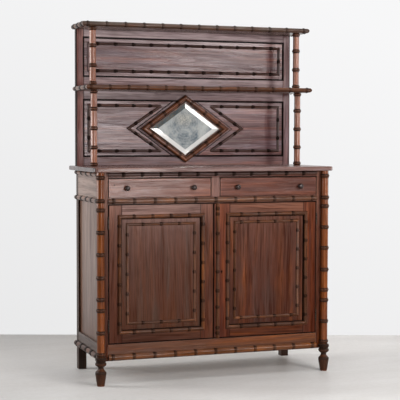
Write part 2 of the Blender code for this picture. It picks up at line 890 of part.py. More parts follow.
def add_lock(axis, frame, other_frame, meeting):
    """A mortise lock whose bolt slides into the other door's edge."""
    y = front_face + door_thickness / 2
    face = meeting + bolt_inset

    def block(name, x0, x1, half_y, half_z, finish=None, carrier=None):
        low = (x0, y - half_y, lock_z - half_z)
        high = (x1, y + half_y, lock_z + half_z)
        return box(name, low, high, finish, carrier)

    pocket = block(
        "lock_pocket", meeting - overrun, face + lock_case_depth + seat,
        lock_case_thickness / 2 + seat, lock_case_height / 2 + seat,
    )
    cut(frame, pocket)
    case = block(
        "lock_case", face, face + lock_case_depth, lock_case_thickness / 2, lock_case_height / 2,
        "brass", axis,
    )
    half_y = lock_bolt_thickness / 2
    half_z = lock_bolt_height / 2
    channel = block("lock_channel", face - overrun, face + lock_bolt_length + seat, half_y + seat, half_z + seat)
    cut(case, channel)
    slide = make_axis("lock_bolt_slide", (face, y, lock_z))
    slide.parent = axis
    slide.location = Vector((face, y, lock_z)) - axis.location
    bolt = block("lock_bolt", face, face + lock_bolt_length, half_y, half_z, "brass")
    bolt.parent = slide
    bolt.location = bolt.location - Vector((face, y, lock_z))
    reach = lock_bolt_travel - bolt_inset
    keeper = block(
        "lock_keeper", meeting - reach - keeper_end_play, meeting, half_y + keeper_play, half_z + keeper_play,
    )
    cut(other_frame, keeper)


def make_hinge(label, sign, level, height, axis):
    """A butt hinge: the post's leaf carries the pin, the door's leaf turns on it."""
    low = height - hinge_height / 2
    third = hinge_height * knuckle_share
    near = seat / 2
    far = near + hinge_leaf_thickness
    base = f"hinge_{label}_{level}"

    def leaf(name, way, y0, z0, z1, finish=None, carrier=None):
        x0 = sign * hinge_x + way * near
        x1 = sign * hinge_x + way * far
        return box(
            name, (min(x0, x1), y0, z0), (max(x0, x1), front_face + hinge_leaf_width, z1), finish, carrier,
        )

    fixed = leaf(f"{base}_post_leaf", sign, front_face, low, low + hinge_height, "iron")
    spool = turned(
        f"{base}_pin",
        (
            (0, hinge_height),
            (knuckle_radius, hinge_height),
            (knuckle_radius, hinge_height - third + seat),
            (pin_radius, hinge_height - third + seat),
            (pin_radius, third - seat),
            (knuckle_radius, third - seat),
            (knuckle_radius, 0),
            (0, 0),
        ),
        (sign * hinge_x, hinge_y, low), knuckle_sides,
    )
    lower_tab = leaf(f"{base}_low_tab", sign, hinge_y, low, low + third - seat)
    upper_tab = leaf(f"{base}_high_tab", sign, hinge_y, low + hinge_height - third + seat, low + hinge_height)
    for piece in (lower_tab, upper_tab, spool):
        join(fixed, piece)

    moving = leaf(f"{base}_door_leaf", -sign, front_face, low, low + hinge_height, "iron", axis)
    tab = leaf(f"{base}_mid_tab", -sign, hinge_y, low + third, low + hinge_height - third)
    barrel = turned(
        f"{base}_barrel",
        (
            (0, hinge_height - third),
            (knuckle_radius, hinge_height - third),
            (knuckle_radius, third),
            (0, third),
        ),
        (sign * hinge_x, hinge_y, low), knuckle_sides,
    )
    bore = turned(
        f"{base}_bore",
        (
            (0, hinge_height + overrun),
            (pin_radius + seat, hinge_height + overrun),
            (pin_radius + seat, -overrun),
            (0, -overrun),
        ),
        (sign * hinge_x, hinge_y, low), knuckle_sides,
    )
    join(moving, tab)
    join(moving, barrel)
    cut(moving, bore)


def make_doors():
    left_axis, left_frame, _ = make_door("left", -1)
    right_axis, right_frame, meeting = make_door("right", 1)
    add_astragal(right_frame, meeting)
    add_lock(right_axis, right_frame, left_frame, meeting)
    for (label, sign), axis in zip(sides, (left_axis, right_axis)):
        for level, share in zip(("lower", "upper"), hinge_centre_shares):
            make_hinge(label, sign, level, door_low + share * (door_high - door_low), axis)


# Upper part


def upper_window(name, x, low, high, frame):
    """Cuts a window with a rebate behind it and makes the set-back panel that fills it."""
    rear = back_face + overrun
    opening = box(f"{name}_opening", (-x, upper_front - overrun, low), (x, rear, high))
    cut(frame, opening)
    if name == "lower_panel":
        field = diamond_block("mirror_field", mirror_field, upper_panel_setback - seat, -overrun - seat)
        cut(opening, field)
    ledge = upper_front + upper_panel_front_depth
    wide = upper_rebate_width
    rebate = box(f"{name}_rebate", (-x - wide, ledge, low - wide), (x + wide, rear, high + wide))
    cut(frame, rebate)
    play = upper_panel_play
    flange_rear = ledge + seat + upper_panel_flange
    panel = box(
        name, (-x + play, upper_front + upper_panel_setback, low + play),
        (x - play, flange_rear - glue_depth, high - play), "panel",
    )
    grip = wide - play
    flange = box(
        f"{name}_flange", (-x - grip, ledge + seat, low - grip), (x + grip, flange_rear, high + grip),
    )
    join(panel, flange)
    return panel


def make_upper_back():
    low = worktop_height + seat
    high = top_board_under - seat
    half = upper_half_width
    frame = box("upper_back_frame", (-half, upper_front, low), (half, back_face, high), "pine")
    x = half - upper_stile_width
    upper = upper_window("upper_panel", x, upper_window_low, upper_window_high, frame)
    lower = upper_window("lower_panel", x, lower_window_low, lower_window_high, frame)

    y = upper_front + upper_panel_setback + glue_depth
    side = x - upper_trim_side_inset
    path = rectangle(
        -side, side, upper_window_low + upper_trim_rail_inset, upper_window_high - upper_trim_rail_inset, y,
    )
    level = even_shares(upper_across_knot_count, upper_across_end_share)
    trim_on(
        upper, "upper_panel_trim", path, (0, -1, 0), panel_cane_radius,
        (level, [1 / 2], level, [1 / 2]), closed=True,
    )

    bottom = lower_window_low + lower_trim_rail_inset
    top = lower_window_high - lower_trim_rail_inset
    middle = (bottom + top) / 2
    for label, sign in sides:
        edge = sign * (x - lower_trim_side_inset)
        inner = sign * lower_v_inner
        tip = sign * lower_v_tip
        outline = ((inner, y, top), (edge, y, top), (edge, y, bottom), (inner, y, bottom))
        back_shares = [1 - share for share in reversed(lower_across_shares)]
        trim_on(
            lower, f"lower_panel_trim_{label}", outline, (0, -1, 0), panel_cane_radius,
            (lower_across_shares, lower_upright_shares, back_shares),
        )
        slant = ((inner, y, top), (tip, y, middle), (inner, y, bottom))
        back_slant = [1 - share for share in reversed(lower_v_shares)]
        trim_on(
            lower, f"lower_panel_arrow_{label}", slant, (0, -1, 0), panel_cane_radius,
            (lower_v_shares, back_slant),
        )


def make_mirror():
    """Bevelled diamond glass in a frame with a bamboo strip, laid over the back's rails."""
    rear = -seat
    front = rear - mirror_frame_thickness
    frame = diamond_block("mirror_frame", mirror_frame_outer, rear, front, "cane")
    cut(frame, diamond_block("mirror_sight", mirror_sight, rear + overrun, front - overrun))
    ledge = rear - mirror_rebate_depth
    glass_reach = mirror_sight + mirror_rebate_width
    cut(frame, diamond_block("mirror_rebate", glass_reach, rear + overrun, ledge))
    half, rise = diamond(mirror_trim_line)
    middle = Vector((mirror_offset, upper_front + front + glue_depth, mirror_height))
    corners = [middle + Vector((x, 0, z)) for x, z in ((-half, 0), (0, -rise), (half, 0), (0, rise))]
    trim_on(
        frame, "mirror_trim", corners, (0, -1, 0), mirror_cane_radius, [mirror_knot_shares] * 4,
        closed=True,
    )
    glass_front = ledge + seat
    glass_rear = glass_front + mirror_glass_thickness
    width = mirror_rebate_width - seat + mirror_bevel_width
    diamond_block(
        "mirror", glass_reach - seat, glass_rear, glass_rear - mirror_glass_edge, "silver",
        (width, mirror_glass_thickness - mirror_glass_edge),
    )


def make_shelf(name, low, half, depth, rear, radius, front_shares, side_shares):
    """A board whose front and side edges carry one mitred half-round strip."""
    front = back_face - depth
    board = box(name, (-half, front, low), (half, rear, low + shelf_board), "pine")
    x = half - glue_depth
    y = front + glue_depth
    z = low + shelf_board / 2
    path = ((-x, back_face, z), (-x, y, z), (x, y, z), (x, back_face, z))
    back_shares = [1 - share for share in reversed(side_shares)]
    trim_on(
        board, f"{name}_trim", path, (0, 0, 1), radius, (side_shares, front_shares, back_shares),
        on_edge=True,
    )


def make_post(name, x, y, low, high, shares):
    length = high - low
    profile = cane_profile(length, post_radius, post_knot_radius, post_knot_length, shares)
    turned(name, profile, (x, y, low), post_sides, "cane")


def make_upper_shelves():
    make_shelf(
        "mid_shelf", mid_shelf_under, upper_half_width + mid_shelf_side_overhang, mid_shelf_depth,
        upper_front - seat, shelf_cane_radius,
        even_shares(mid_shelf_front_knot_count, mid_shelf_front_end_share),
        even_shares(mid_shelf_side_knot_count, mid_shelf_side_end_share),
    )
    make_shelf(
        "top_board", top_board_under, upper_half_width + top_board_side_overhang, top_board_depth,
        back_face, crown_cane_radius,
        even_shares(top_board_front_knot_count, top_board_front_end_share),
        even_shares(top_board_side_knot_count, top_board_side_end_share),
    )
    for label, sign in sides:
        x = sign * (upper_half_width - post_inset)
        make_post(
            f"lower_post_{label}", x, back_face - mid_shelf_depth + lower_post_setback,
            worktop_height + seat, mid_shelf_under - seat, lower_post_shares,
        )
        make_post(
            f"upper_post_{label}", x, back_face - top_board_depth + upper_post_setback,
            mid_shelf_top + seat, top_board_under - seat, upper_post_shares,
        )


make_worktop()
for side_label, side_sign in sides:
    make_side(side_label, side_sign)
    make_column(side_label, side_sign)
make_front()
make_inside()
for side_label, side_sign in sides:
    make_drawer(side_label, side_sign)
make_doors()
make_upper_back()
make_mirror()
make_upper_shelves()
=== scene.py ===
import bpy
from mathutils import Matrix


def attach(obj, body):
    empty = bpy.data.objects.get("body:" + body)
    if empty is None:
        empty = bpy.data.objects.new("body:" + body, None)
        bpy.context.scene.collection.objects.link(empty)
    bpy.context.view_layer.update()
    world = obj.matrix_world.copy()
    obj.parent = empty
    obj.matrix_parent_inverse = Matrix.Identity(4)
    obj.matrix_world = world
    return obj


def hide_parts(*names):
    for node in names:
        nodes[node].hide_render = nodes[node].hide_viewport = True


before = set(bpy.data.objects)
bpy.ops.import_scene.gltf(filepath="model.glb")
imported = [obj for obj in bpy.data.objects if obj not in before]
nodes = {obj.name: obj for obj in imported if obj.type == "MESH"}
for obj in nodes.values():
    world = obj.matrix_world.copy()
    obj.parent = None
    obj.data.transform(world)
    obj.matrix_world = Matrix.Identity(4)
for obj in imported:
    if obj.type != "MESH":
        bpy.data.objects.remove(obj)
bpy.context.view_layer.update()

import math
import random

import bmesh
import bpy
from mathutils import Matrix, Vector

sides = (("left", -1), ("right", 1))

# Sizes, as in the CAD source
seat = 0.0003  # gap between pieces that touch
sink = 0.0005  # how far a strip is let into what carries it
skin = 0.00015  # how far a fine turning covers the plainer one in the CAD node
front_face = -0.2282
back_face = 0.2530
half_width = 0.6013
post_inner = 0.5617
column_out = 0.0013  # the column's axis, outside the side and before the front
column_forward = 0.0115
worktop_height = 1.0705
worktop_under = 1.0485
worktop_over = 0.0387
bottom_rail_low = 0.118
drawer_sill = 0.9208
drawer_top = 1.0170
drawer_near = 0.0238  # a drawer front's two ends, from the middle of the cabinet
drawer_far = post_inner - 0.002
door_low = 0.2024
door_high = 0.8884
door_foot_rail = 0.0651
door_head_rail = 0.0719
left_door_stiles = (0.0670, 0.0690)
right_door_stiles = (0.0865, 0.0705)
door_panel_face = front_face + 0.008
meeting = (-0.0105, -0.0085)  # meeting edges of the left and the right door
hung = 0.5586  # the hinged edges
upper_front = back_face - 0.0286
upper_half_width = 0.6070
back_stile = 0.0405
back_rails = (0.0485, 0.0463, 0.0547, 0.042)  # upwards: two round the lower panel, two round the upper one
back_panel_face = upper_front + 0.005
mirror_face = upper_front - seat - 0.012
mid_shelf_under = 1.4608
mid_shelf_over = 0.0012
mid_shelf_depth = 0.2833
top_board_under = 1.7810
top_board_over = 0.0079
top_board_depth = 0.2307
shelf_board = 0.022
mid_shelf_top = 1.4828
post_inset = 0.0427
lower_post_set = 0.0575  # a post's axis behind the front edge of the board over it
upper_post_set = 0.0259
mirror_x = -0.008
mirror_z = 1.2655
mirror_slope = 0.72
knot_rise = 0.0023
knot_half = 0.0065

# Geometry helpers


def new_object(name, mesh, body, material):
    made = bpy.data.objects.new(name, mesh)
    bpy.context.scene.collection.objects.link(made)
    for held in material if isinstance(material, tuple) else (material,):
        mesh.materials.append(held)
    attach(made, body)
    return made


def finish_mesh(bm, name, smooth_angle=math.radians(38)):
    bmesh.ops.recalc_face_normals(bm, faces=bm.faces)
    for face in bm.faces:
        face.smooth = True
    for edge in bm.edges:
        if len(edge.link_faces) == 2 and edge.calc_face_angle(0) > smooth_angle:
            edge.smooth = False
    mesh = bpy.data.meshes.new(name)
    bm.to_mesh(mesh)
    bm.free()
    return mesh


class Turner:
    """Collects rings of points and writes the wood's own coordinates on them, with marks for the knots' dark colour
    and for painted shade.
    """

    def __init__(self, seed):
        self.bm = bmesh.new()
        self.grain = self.bm.verts.layers.float_vector.new("grain")
        self.stain = self.bm.verts.layers.float.new("stain")
        self.random = random.Random(seed)

    def vertex(self, point, grain, stain):
        made = self.bm.verts.new(point)
        made[self.grain] = grain
        made[self.stain] = stain
        return made

    def skin_rings(self, rings, material=0):
        for low, high in zip(rings, rings[1:]):
            for i in range(len(low)):
                j = (i + 1) % len(low)
                corners = [low[i], low[j], high[j], high[i]]
                if len({tuple(round(c, 6) for c in v.co) for v in corners}) > 2:
                    self.bm.faces.new(corners).material_index = material
        for ring in (rings[0], rings[-1]):
            self.bm.faces.new(ring).material_index = material


def bead(offset, half, rise):
    """Height of a bead at a distance from its middle."""
    share = abs(offset) / half
    return rise * math.sqrt(1 - share * share) if share < 1 else 0


def knot_stations(length, knots, half):
    """Places along a cane where its section changes; the steps are in half widths of a knot."""
    steps = (-1.9, -1.35, -1.0, -0.93, -0.75, -0.4, 0, 0.4, 0.75, 0.93, 1.0, 1.35, 1.9)
    places = {0, length}
    for knot in knots:
        places.update(min(length, max(0, knot + step * half)) for step in steps)
    run = sorted(places)
    kept = [run[0]]
    for place in run[1:]:
        if place - kept[-1] > 0.0002:
            kept.append(place)
    kept[-1] = length
    return kept


def stain_at(place, knots, half):
    """1 on a knot, fading out beside it."""
    clean, fading = 1.9, 0.75
    near = min(abs(place - knot) for knot in knots) / half
    return max(0, min(1, (clean - near) / fading))


def canes(
    name, path, normal, radius, shares, body, material, closed=False, on_edge=False, half=knot_half, front=0.6,
):
    """Half-round bamboo strips with knots, mitred at the path's corners.

    material, half and front (how dark a knot is on its crown) may be tuples, one value for each length.
    A knot darkens fully towards the board, partly as painted shade, and each strip's foot is painted shade.
    """
    arc = 14
    work = Turner(name)
    path = [Vector(p) for p in path]
    normal = Vector(normal)
    count = len(path) if closed else len(path) - 1
    along = [(path[(i + 1) % len(path)] - path[i]).normalized() for i in range(count)]
    for i in range(count):
        start = path[i]
        run = (path[(i + 1) % len(path)] - start).length
        way = along[i]
        out = way.cross(normal) if on_edge else normal
        lateral = out.cross(way)
        before = way + along[i - 1] if closed or i > 0 else None
        after = way + along[(i + 1) % count] if closed or i < count - 1 else None
        knots = [share * run for share in shares[i]]
        plain = front[i] if isinstance(front, tuple) else front
        wide = half[i] if isinstance(half, tuple) else half
        reach = radius + knot_rise
        low = -reach * 1.5 if before is not None else 0
        high = run + reach * 1.5 if after is not None else run
        shift = Vector([work.random.uniform(-3, 3) for _ in range(3)])
        stations = [low] + [p for p in knot_stations(run, knots, wide) if low < p < high] + [high]
        rings = []
        for place in stations:
            here = radius + skin + max(bead(place - knot, wide, knot_rise) for knot in knots)
            mark = stain_at(place, knots, wide)
            ring = []
            for step in range(arc + 1):
                angle = math.pi * step / arc
                offset = lateral * (math.cos(angle) * here) + out * (math.sin(angle) * here)
                t = place
                if before is not None:
                    t = max(t, -offset.dot(before) / way.dot(before))
                if after is not None:
                    t = min(t, run - offset.dot(after) / way.dot(after))
                grain = shift + Vector((math.cos(angle) * here, math.sin(angle) * here, t))
                # Knot stain, paler on the crown by front; its darkening towards the board is partly painted shade,
                # and the dark line along the strip's foot against the board is painted shade.
                foot_shade = max(0, 1 - math.sin(angle) / 0.42)
                under = 1 - math.sin(angle)
                level = mark * (plain + (1 - plain) * under) + 0.8 * foot_shade * min(1, 3 * plain)
                ring.append(work.vertex(start + way * t + offset, grain, min(1, level)))
            rings.append(ring)
        work.skin_rings(rings, i if isinstance(material, tuple) else 0)
        bmesh.ops.remove_doubles(work.bm, verts=[vertex for ring in rings for vertex in ring], dist=0.000002)
    return new_object(name, finish_mesh(work.bm, name), body, material)


def even(count, end_share):
    """Shares of a length for evenly spaced knots, the outer ones this far from its ends."""
    return [end_share + (1 - 2 * end_share) * i / (count - 1) for i in range(count)]


def rectangle(x0, x1, z0, z1, y):
    return [(x0, y, z0), (x1, y, z0), (x1, y, z1), (x0, y, z1)]


def turning(name, profile, place, body, material, replaced, direction="Z", steps=40):
    """A turned piece from (radius, height, stain) points."""
    work = Turner(name)
    shift = Vector([work.random.uniform(-3, 3) for _ in range(3)])
    rings = []
    for radius, height, stain in profile:
        ring = []
        for step in range(steps):
            angle = 2 * math.pi * step / steps
            point = Vector((math.cos(angle) * radius, math.sin(angle) * radius, height))
            spot = Vector((point.x, -point.z, point.y)) if direction == "-Y" else point
            ring.append(work.vertex(Vector(place) + spot, shift + point, stain))
        rings.append(ring)
    work.skin_rings(rings)
    made = new_object(name, finish_mesh(work.bm, name, math.radians(50)), body, material)
    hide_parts(*replaced)


def cane_turning(length, radius, crest, knots, half, base=0, crown=1.0):
    """Profile points of a round bamboo turning, bottom to top, with small fillets beside each knot.

    crown is how dark the bead itself is, beside its grooves.
    """
    fillet, fillet_at, fillet_half = 0.0022, 1.36, 0.26
    places = {0.0, length}
    for knot in knots:
        for step in (-2.2, -1.75, -1.62, -1.5, -1.36, -1.24, -1.12, -1, -0.95, -0.8, -0.5, 0):
            for sign in (-1, 1):
                places.add(min(length, max(0, knot + sign * step * half)))
    points = []
    for place in sorted(places):
        height = 0
        for knot in knots:
            off = abs(place - knot)
            beside = bead(off - fillet_at * half, fillet_half * half, fillet)
            height = max(height, bead(off, half, crest - radius), beside)
        near = min(abs(place - knot) for knot in knots) / half
        level = stain_at(place, knots, half)
        points.append((radius + height, base + place, level * (crown if near < 0.8 else 0.85)))
    return points


# Materials


def node(tree, kind, **values):
    made = tree.nodes.new(kind)
    for key, value in values.items():
        setattr(made, key, value)
    return made


def math_node(tree, operation, a, b=None):
    made = node(tree, "ShaderNodeMath", operation=operation)
    for socket, value in zip(made.inputs, (a, b)):
        if value is None:
            continue
        if isinstance(value, (int, float)):
            socket.default_value = value
        else:
            tree.links.new(value, socket)
    return made.outputs[0]


def arithmetic(tree):
    """Adding, subtracting and multiplying in one node tree, as three short functions."""
    def function(operation):
        return lambda a, b: math_node(tree, operation, a, b)
    return function("ADD"), function("SUBTRACT"), function("MULTIPLY")


def mix_colour(tree, factor, a, b, blend="MIX"):
    made = node(tree, "ShaderNodeMix", data_type="RGBA", blend_type=blend)
    for socket, value in ((made.inputs[0], factor), (made.inputs[6], a), (made.inputs[7], b)):
        if isinstance(value, (int, float)):
            socket.default_value = value
        elif isinstance(value, tuple):
            socket.default_value = (*value, 1)
        else:
            tree.links.new(value, socket)
    return made.outputs[2]


def scaled(tree, vector, factors):
    made = node(tree, "ShaderNodeVectorMath", operation="MULTIPLY")
    tree.links.new(vector, made.inputs[0])
    made.inputs[1].default_value = factors
    return made.outputs[0]


def noise(tree, vector, factors, detail=3.0, roughness=0.55):
    made = node(tree, "ShaderNodeTexNoise")
    tree.links.new(scaled(tree, vector, factors), made.inputs["Vector"])
    made.inputs["Scale"].default_value = 1.0
    made.inputs["Detail"].default_value = detail
    made.inputs["Roughness"].default_value = roughness
    return made.outputs["Fac"]


def ramp(tree, value, stops):
    made = node(tree, "ShaderNodeValToRGB")
    elements = made.color_ramp.elements
    while len(elements) < len(stops):
        elements.new(0.5)
    for element, (place, level) in zip(elements, stops):
        element.position = place
        element.color = (level, level, level, 1)
    tree.links.new(value, made.inputs[0])
    return made.outputs[0]


def shader(name):
    made = bpy.data.materials.new(name)
    made.use_nodes = True
    tree = made.node_tree
    principled = tree.nodes["Principled BSDF"]
    return made, tree, principled


turns = {"X": (0, -math.pi / 2, 0), "Y": (math.pi / 2, 0, 0), "Z": (0, 0, 0)}


def wood(
    name, light, dark, axis=None, warm=(0.26, 0.070, 0.016), cool=(0.085, 0.060, 0.055), rings=0.55, spacing=0.0055,
    streaks=0.75, warm_share=0.7, cool_share=0.6, blotch=0.5, roughness=0.36, gloss=0.5, coat=0.0,
    coat_roughness=0.2, anisotropy=0.0, joints=None, outer_tone=None, left_only=False, stain=(0.012, 0.006, 0.004),
    outlines=(), diamonds=(), spots=(), worn=(), fade=None, along=1.0, broad=1.0,
):
    """Stained timber: growth rings about a pith beside the board, fibres, streaks and uneven stain.

    axis is the grain's direction in the frame; None takes it from the piece's own grain marks.
    joints is the span between two upright members, where the grain runs across instead; outer_tone tints the
    uprights (the left one, with left_only). outlines (low and high of both directions, half the line's width),
    diamonds (middle, slope, distance of the sides, half width) and spots (place, radius) are painted shade: dark
    lines in the gaps and recesses round doors, drawers and panels and beside strips, and dark holes, all without
    sheen. worn holds outlines rubbed paler.
    fade is (colour, ((height, share), ...)): a paler, greyer colour mixed in by height, painted sheen,
    weaker on the uprights; on the upper back it is also painted light over the shelves' shade.
    along sets how quickly the colour changes lengthwise, broad how wide its streaks are.
    """
    tilt = 1.6  # degrees, at most, between board and pith
    pith = ((-0.05, 0.05), (0.05, 0.11), (-4, 4))  # where the pith may lie
    sway_by = 0.030
    ramp_scale = 0.5  # a ramp ends at 1, the cabinet at 1.8 m
    made, tree, principled = shader(name)
    plus, minus, times = arithmetic(tree)
    spread = random.Random(name)
    stained = None
    if axis is None:
        raw = node(tree, "ShaderNodeAttribute", attribute_name="grain").outputs["Vector"]
        stained = node(tree, "ShaderNodeAttribute", attribute_name="stain").outputs["Fac"]
    else:
        raw = node(tree, "ShaderNodeTexCoord").outputs["Object"]

    def placed(turn):
        made = node(tree, "ShaderNodeMapping", vector_type="POINT")
        tree.links.new(raw, made.inputs["Vector"])
        lean = [math.radians(spread.uniform(-tilt, tilt)) for _ in range(3)]
        made.inputs["Rotation"].default_value = [a + b for a, b in zip(turn, lean)]
        made.inputs["Location"].default_value = [spread.uniform(*span) for span in pith]
        return made.outputs["Vector"]

    def lines(value, low, high):
        return ramp(tree, value, [(low, 0), (high, 1)])

    def within(distance, limit):
        return ramp(tree, math_node(tree, "DIVIDE", distance, limit), [(0.75, 1), (1.0, 0)])

    place = node(tree, "ShaderNodeSeparateXYZ")
    tree.links.new(raw, place.inputs[0])
    grain = placed(turns[axis or "Z"])
    inside = None
    marks = []
    if joints is not None:
        inside = times(
            math_node(tree, "GREATER_THAN", place.outputs[0], joints[0]),
            math_node(tree, "LESS_THAN", place.outputs[0], joints[1]),
        )
        mixed = node(tree, "ShaderNodeMix", data_type="VECTOR")
        tree.links.new(inside, mixed.inputs[0])
        tree.links.new(grain, mixed.inputs[4])
        tree.links.new(placed(turns["X"]), mixed.inputs[5])
        grain = mixed.outputs[1]
        gap = math_node(
            tree, "MINIMUM", math_node(tree, "ABSOLUTE", minus(place.outputs[0], joints[0])),
            math_node(tree, "ABSOLUTE", minus(place.outputs[0], joints[1])),
        )
        marks.append(ramp(tree, gap, [(0.0008, 0.85), (0.0018, 0)]))

    sway = node(tree, "ShaderNodeTexNoise")
    tree.links.new(scaled(tree, grain, (7, 7, 2.2)), sway.inputs["Vector"])
    sway.inputs["Scale"].default_value = 1.0
    moved = node(tree, "ShaderNodeVectorMath", operation="SCALE")
    tree.links.new(sway.outputs["Color"], moved.inputs[0])
    moved.inputs["Scale"].default_value = sway_by
    swayed = node(tree, "ShaderNodeVectorMath", operation="ADD")
    tree.links.new(grain, swayed.inputs[0])
    tree.links.new(moved.outputs[0], swayed.inputs[1])
    grain = swayed.outputs[0]
    parts = node(tree, "ShaderNodeSeparateXYZ")
    tree.links.new(grain, parts.inputs[0])
    square = plus(times(parts.outputs[0], parts.outputs[0]), times(parts.outputs[1], parts.outputs[1]))
    distance = math_node(tree, "SQRT", square)
    phase = math_node(tree, "FRACT", math_node(tree, "DIVIDE", distance, spacing))
    late = ramp(tree, phase, [(0, 0.05), (0.45, 0.2), (0.8, 1), (0.93, 0.8), (1, 0.05)])
    fibre = noise(tree, grain, (420, 420, 9), 3, 0.6)
    fine = lines(noise(tree, grain, (125, 125, 4.5), 3, 0.6), 0.46, 0.66)
    streak = lines(noise(tree, grain, (34, 34, 0.9), 4, 0.6), 0.42, 0.72)
    patch = lines(noise(tree, grain, (9, 9, 2.4 * along), 4, 0.6), 0.45, 0.75)
    redder = lines(noise(tree, grain, (38 / broad, 38 / broad, 1.5 * along), 4, 0.62), 0.50, 0.68)
    greyer = lines(noise(tree, grain, (27 / broad, 27 / broad, 1.9 * along), 4, 0.62), 0.48, 0.68)

    middle = tuple((a + b) / 2 for a, b in zip(light, dark))
    colour = mix_colour(tree, times(late, rings), light, dark)
    colour = mix_colour(tree, times(redder, warm_share), colour, warm)
    colour = mix_colour(tree, times(greyer, cool_share), colour, cool)
    # Painted sheen: a paler, greyer colour mixed in by height, weaker on the uprights; on the upper back also painted
    # light under the shelves.
    if fade is not None:
        pale, levels = fade
        level = plus(times(place.outputs[2], ramp_scale), times(minus(patch, 0.5), 0.03))
        share = ramp(tree, level, [(height * ramp_scale, share) for height, share in levels])
        if inside is not None:
            share = times(share, plus(times(inside, 0.65), 0.35))
        colour = mix_colour(tree, share, colour, pale)
    colour = mix_colour(tree, times(streak, streaks), colour, tuple(0.55 * c for c in middle))
    colour = mix_colour(tree, times(fine, 0.8 * streaks), colour, tuple(0.5 * c for c in middle))
    colour = mix_colour(tree, times(patch, blotch), colour, tuple(0.75 * c for c in dark))
    tone = node(tree, "ShaderNodeVectorMath", operation="SCALE")
    tree.links.new(colour, tone.inputs[0])
    tree.links.new(plus(times(fibre, 0.9), 0.55), tone.inputs["Scale"])
    colour = tone.outputs[0]
    if outer_tone is not None:
        plain = math_node(tree, "GREATER_THAN", place.outputs[0], joints[0]) if left_only else inside
        colour = mix_colour(tree, 1.0, colour, mix_colour(tree, plain, outer_tone, (1, 1, 1)), "MULTIPLY")

    first, second = place.outputs[0], place.outputs[2]

    def aside(value, centre):
        return math_node(tree, "ABSOLUTE", minus(value, centre))

    def outline(low_a, high_a, low_b, high_b, width):
        across = minus(aside(first, (low_a + high_a) / 2), (high_a - low_a) / 2)
        above = minus(aside(second, (low_b + high_b) / 2), (high_b - low_b) / 2)
        return within(math_node(tree, "ABSOLUTE", math_node(tree, "MAXIMUM", across, above)), width)

    for shape in worn:
        rubbed = times(outline(*shape), plus(times(fibre, 0.7), times(streak, -0.5)))
        colour = mix_colour(tree, rubbed, colour, tuple(min(1, 2.4 * c) for c in light))
    for shape in outlines:
        marks.append(outline(*shape))
    for a, b, slope, far, width in diamonds:
        along_both = plus(times(aside(first, a), slope), aside(second, b))
        near = aside(math_node(tree, "DIVIDE", along_both, math.hypot(1, slope)), far)
        faced = math_node(tree, "LESS_THAN", place.outputs[1], back_panel_face + 0.004)
        marks.append(times(faced, within(near, width)))
    for a, b, radius in spots:
        x, z = aside(first, a), aside(second, b)
        marks.append(within(math_node(tree, "SQRT", plus(times(x, x), times(z, z))), radius))
    shine = minus(1, plus(times(fine, 0.55), times(streak, 0.30)))
    # Dark joints, and the painted shade lines and holes, share one near-black and lose their sheen.
    joint_and_shade_dark = (0.008, 0.004, 0.003)
    for mark in marks:
        colour = mix_colour(tree, times(mark, 0.97), colour, joint_and_shade_dark)
        shine = times(shine, minus(1, times(mark, 0.9)))
    # The knots' dark colour, with painted shade where a strip meets its board; both lose sheen.
    if stained is not None:
        edge = plus(stained, times(minus(fibre, 0.5), 0.5))
        mask = ramp(tree, edge, [(0.25, 0), (0.8, 1)])
        colour = mix_colour(tree, times(mask, 0.95), colour, stain)
        shine = times(shine, minus(1, times(mask, 0.8)))
    tree.links.new(colour, principled.inputs["Base Color"])

    rough = plus(times(plus(fibre, patch), 0.10), roughness - 0.08)
    tree.links.new(rough, principled.inputs["Roughness"])
    height = plus(times(late, 0.35), fibre)
    raised = node(tree, "ShaderNodeBump")
    raised.inputs["Strength"].default_value = 0.25
    raised.inputs["Distance"].default_value = 0.0006
    tree.links.new(height, raised.inputs["Height"])
    tree.links.new(raised.outputs[0], principled.inputs["Normal"])
    for socket, level in (("Specular IOR Level", gloss), ("Coat Weight", coat)):
        principled.inputs[socket].default_value = level
        if level:
            tree.links.new(times(shine, level), principled.inputs[socket])
    principled.inputs["Coat Roughness"].default_value = coat_roughness
    if anisotropy:
        principled.inputs["Anisotropic"].default_value = anisotropy
        tangent = node(tree, "ShaderNodeCombineXYZ")
        for socket, part in zip(tangent.inputs, (0, 0, 1)):
            socket.default_value = part
        tree.links.new(tangent.outputs[0], principled.inputs["Tangent"])
    return made


# Colours: light wood, dark wood, warm streaks, greyed streaks
pine = {
    "door_left": ((0.078, 0.020, 0.005), (0.033, 0.007, 0.003), (0.145, 0.038, 0.005), (0.060, 0.031, 0.019)),
    "door_right": ((0.082, 0.016, 0.003), (0.030, 0.005, 0.001), (0.215, 0.050, 0.004), (0.052, 0.027, 0.021)),
    # drawer_left is a paler, greyer copy of drawer_right: painted sheen on the left drawer and the divider.
    "drawer_left": ((0.200, 0.079, 0.054), (0.086, 0.029, 0.020), (0.280, 0.086, 0.040), (0.245, 0.172, 0.160)),
    "drawer_right": ((0.150, 0.050, 0.032), (0.060, 0.016, 0.010), (0.270, 0.070, 0.022), (0.150, 0.088, 0.080)),
    "bottom": ((0.135, 0.044, 0.017), (0.055, 0.015, 0.006), (0.250, 0.070, 0.014), (0.100, 0.053, 0.032)),
    "upper": ((0.168, 0.072, 0.071), (0.062, 0.024, 0.024), (0.290, 0.082, 0.043), (0.175, 0.130, 0.165)),
    "worktop": ((0.230, 0.130, 0.112), (0.094, 0.045, 0.038), (0.230, 0.088, 0.048), (0.280, 0.235, 0.245)),
    "side": ((0.118, 0.048, 0.025), (0.054, 0.019, 0.009), (0.160, 0.062, 0.023), (0.100, 0.068, 0.050)),
    "low_side": ((0.070, 0.036, 0.024), (0.032, 0.014, 0.008), (0.095, 0.042, 0.019), (0.066, 0.051, 0.042)),
    "leg": ((0.046, 0.023, 0.014), (0.018, 0.009, 0.006), (0.060, 0.027, 0.013), (0.034, 0.026, 0.022)),
}
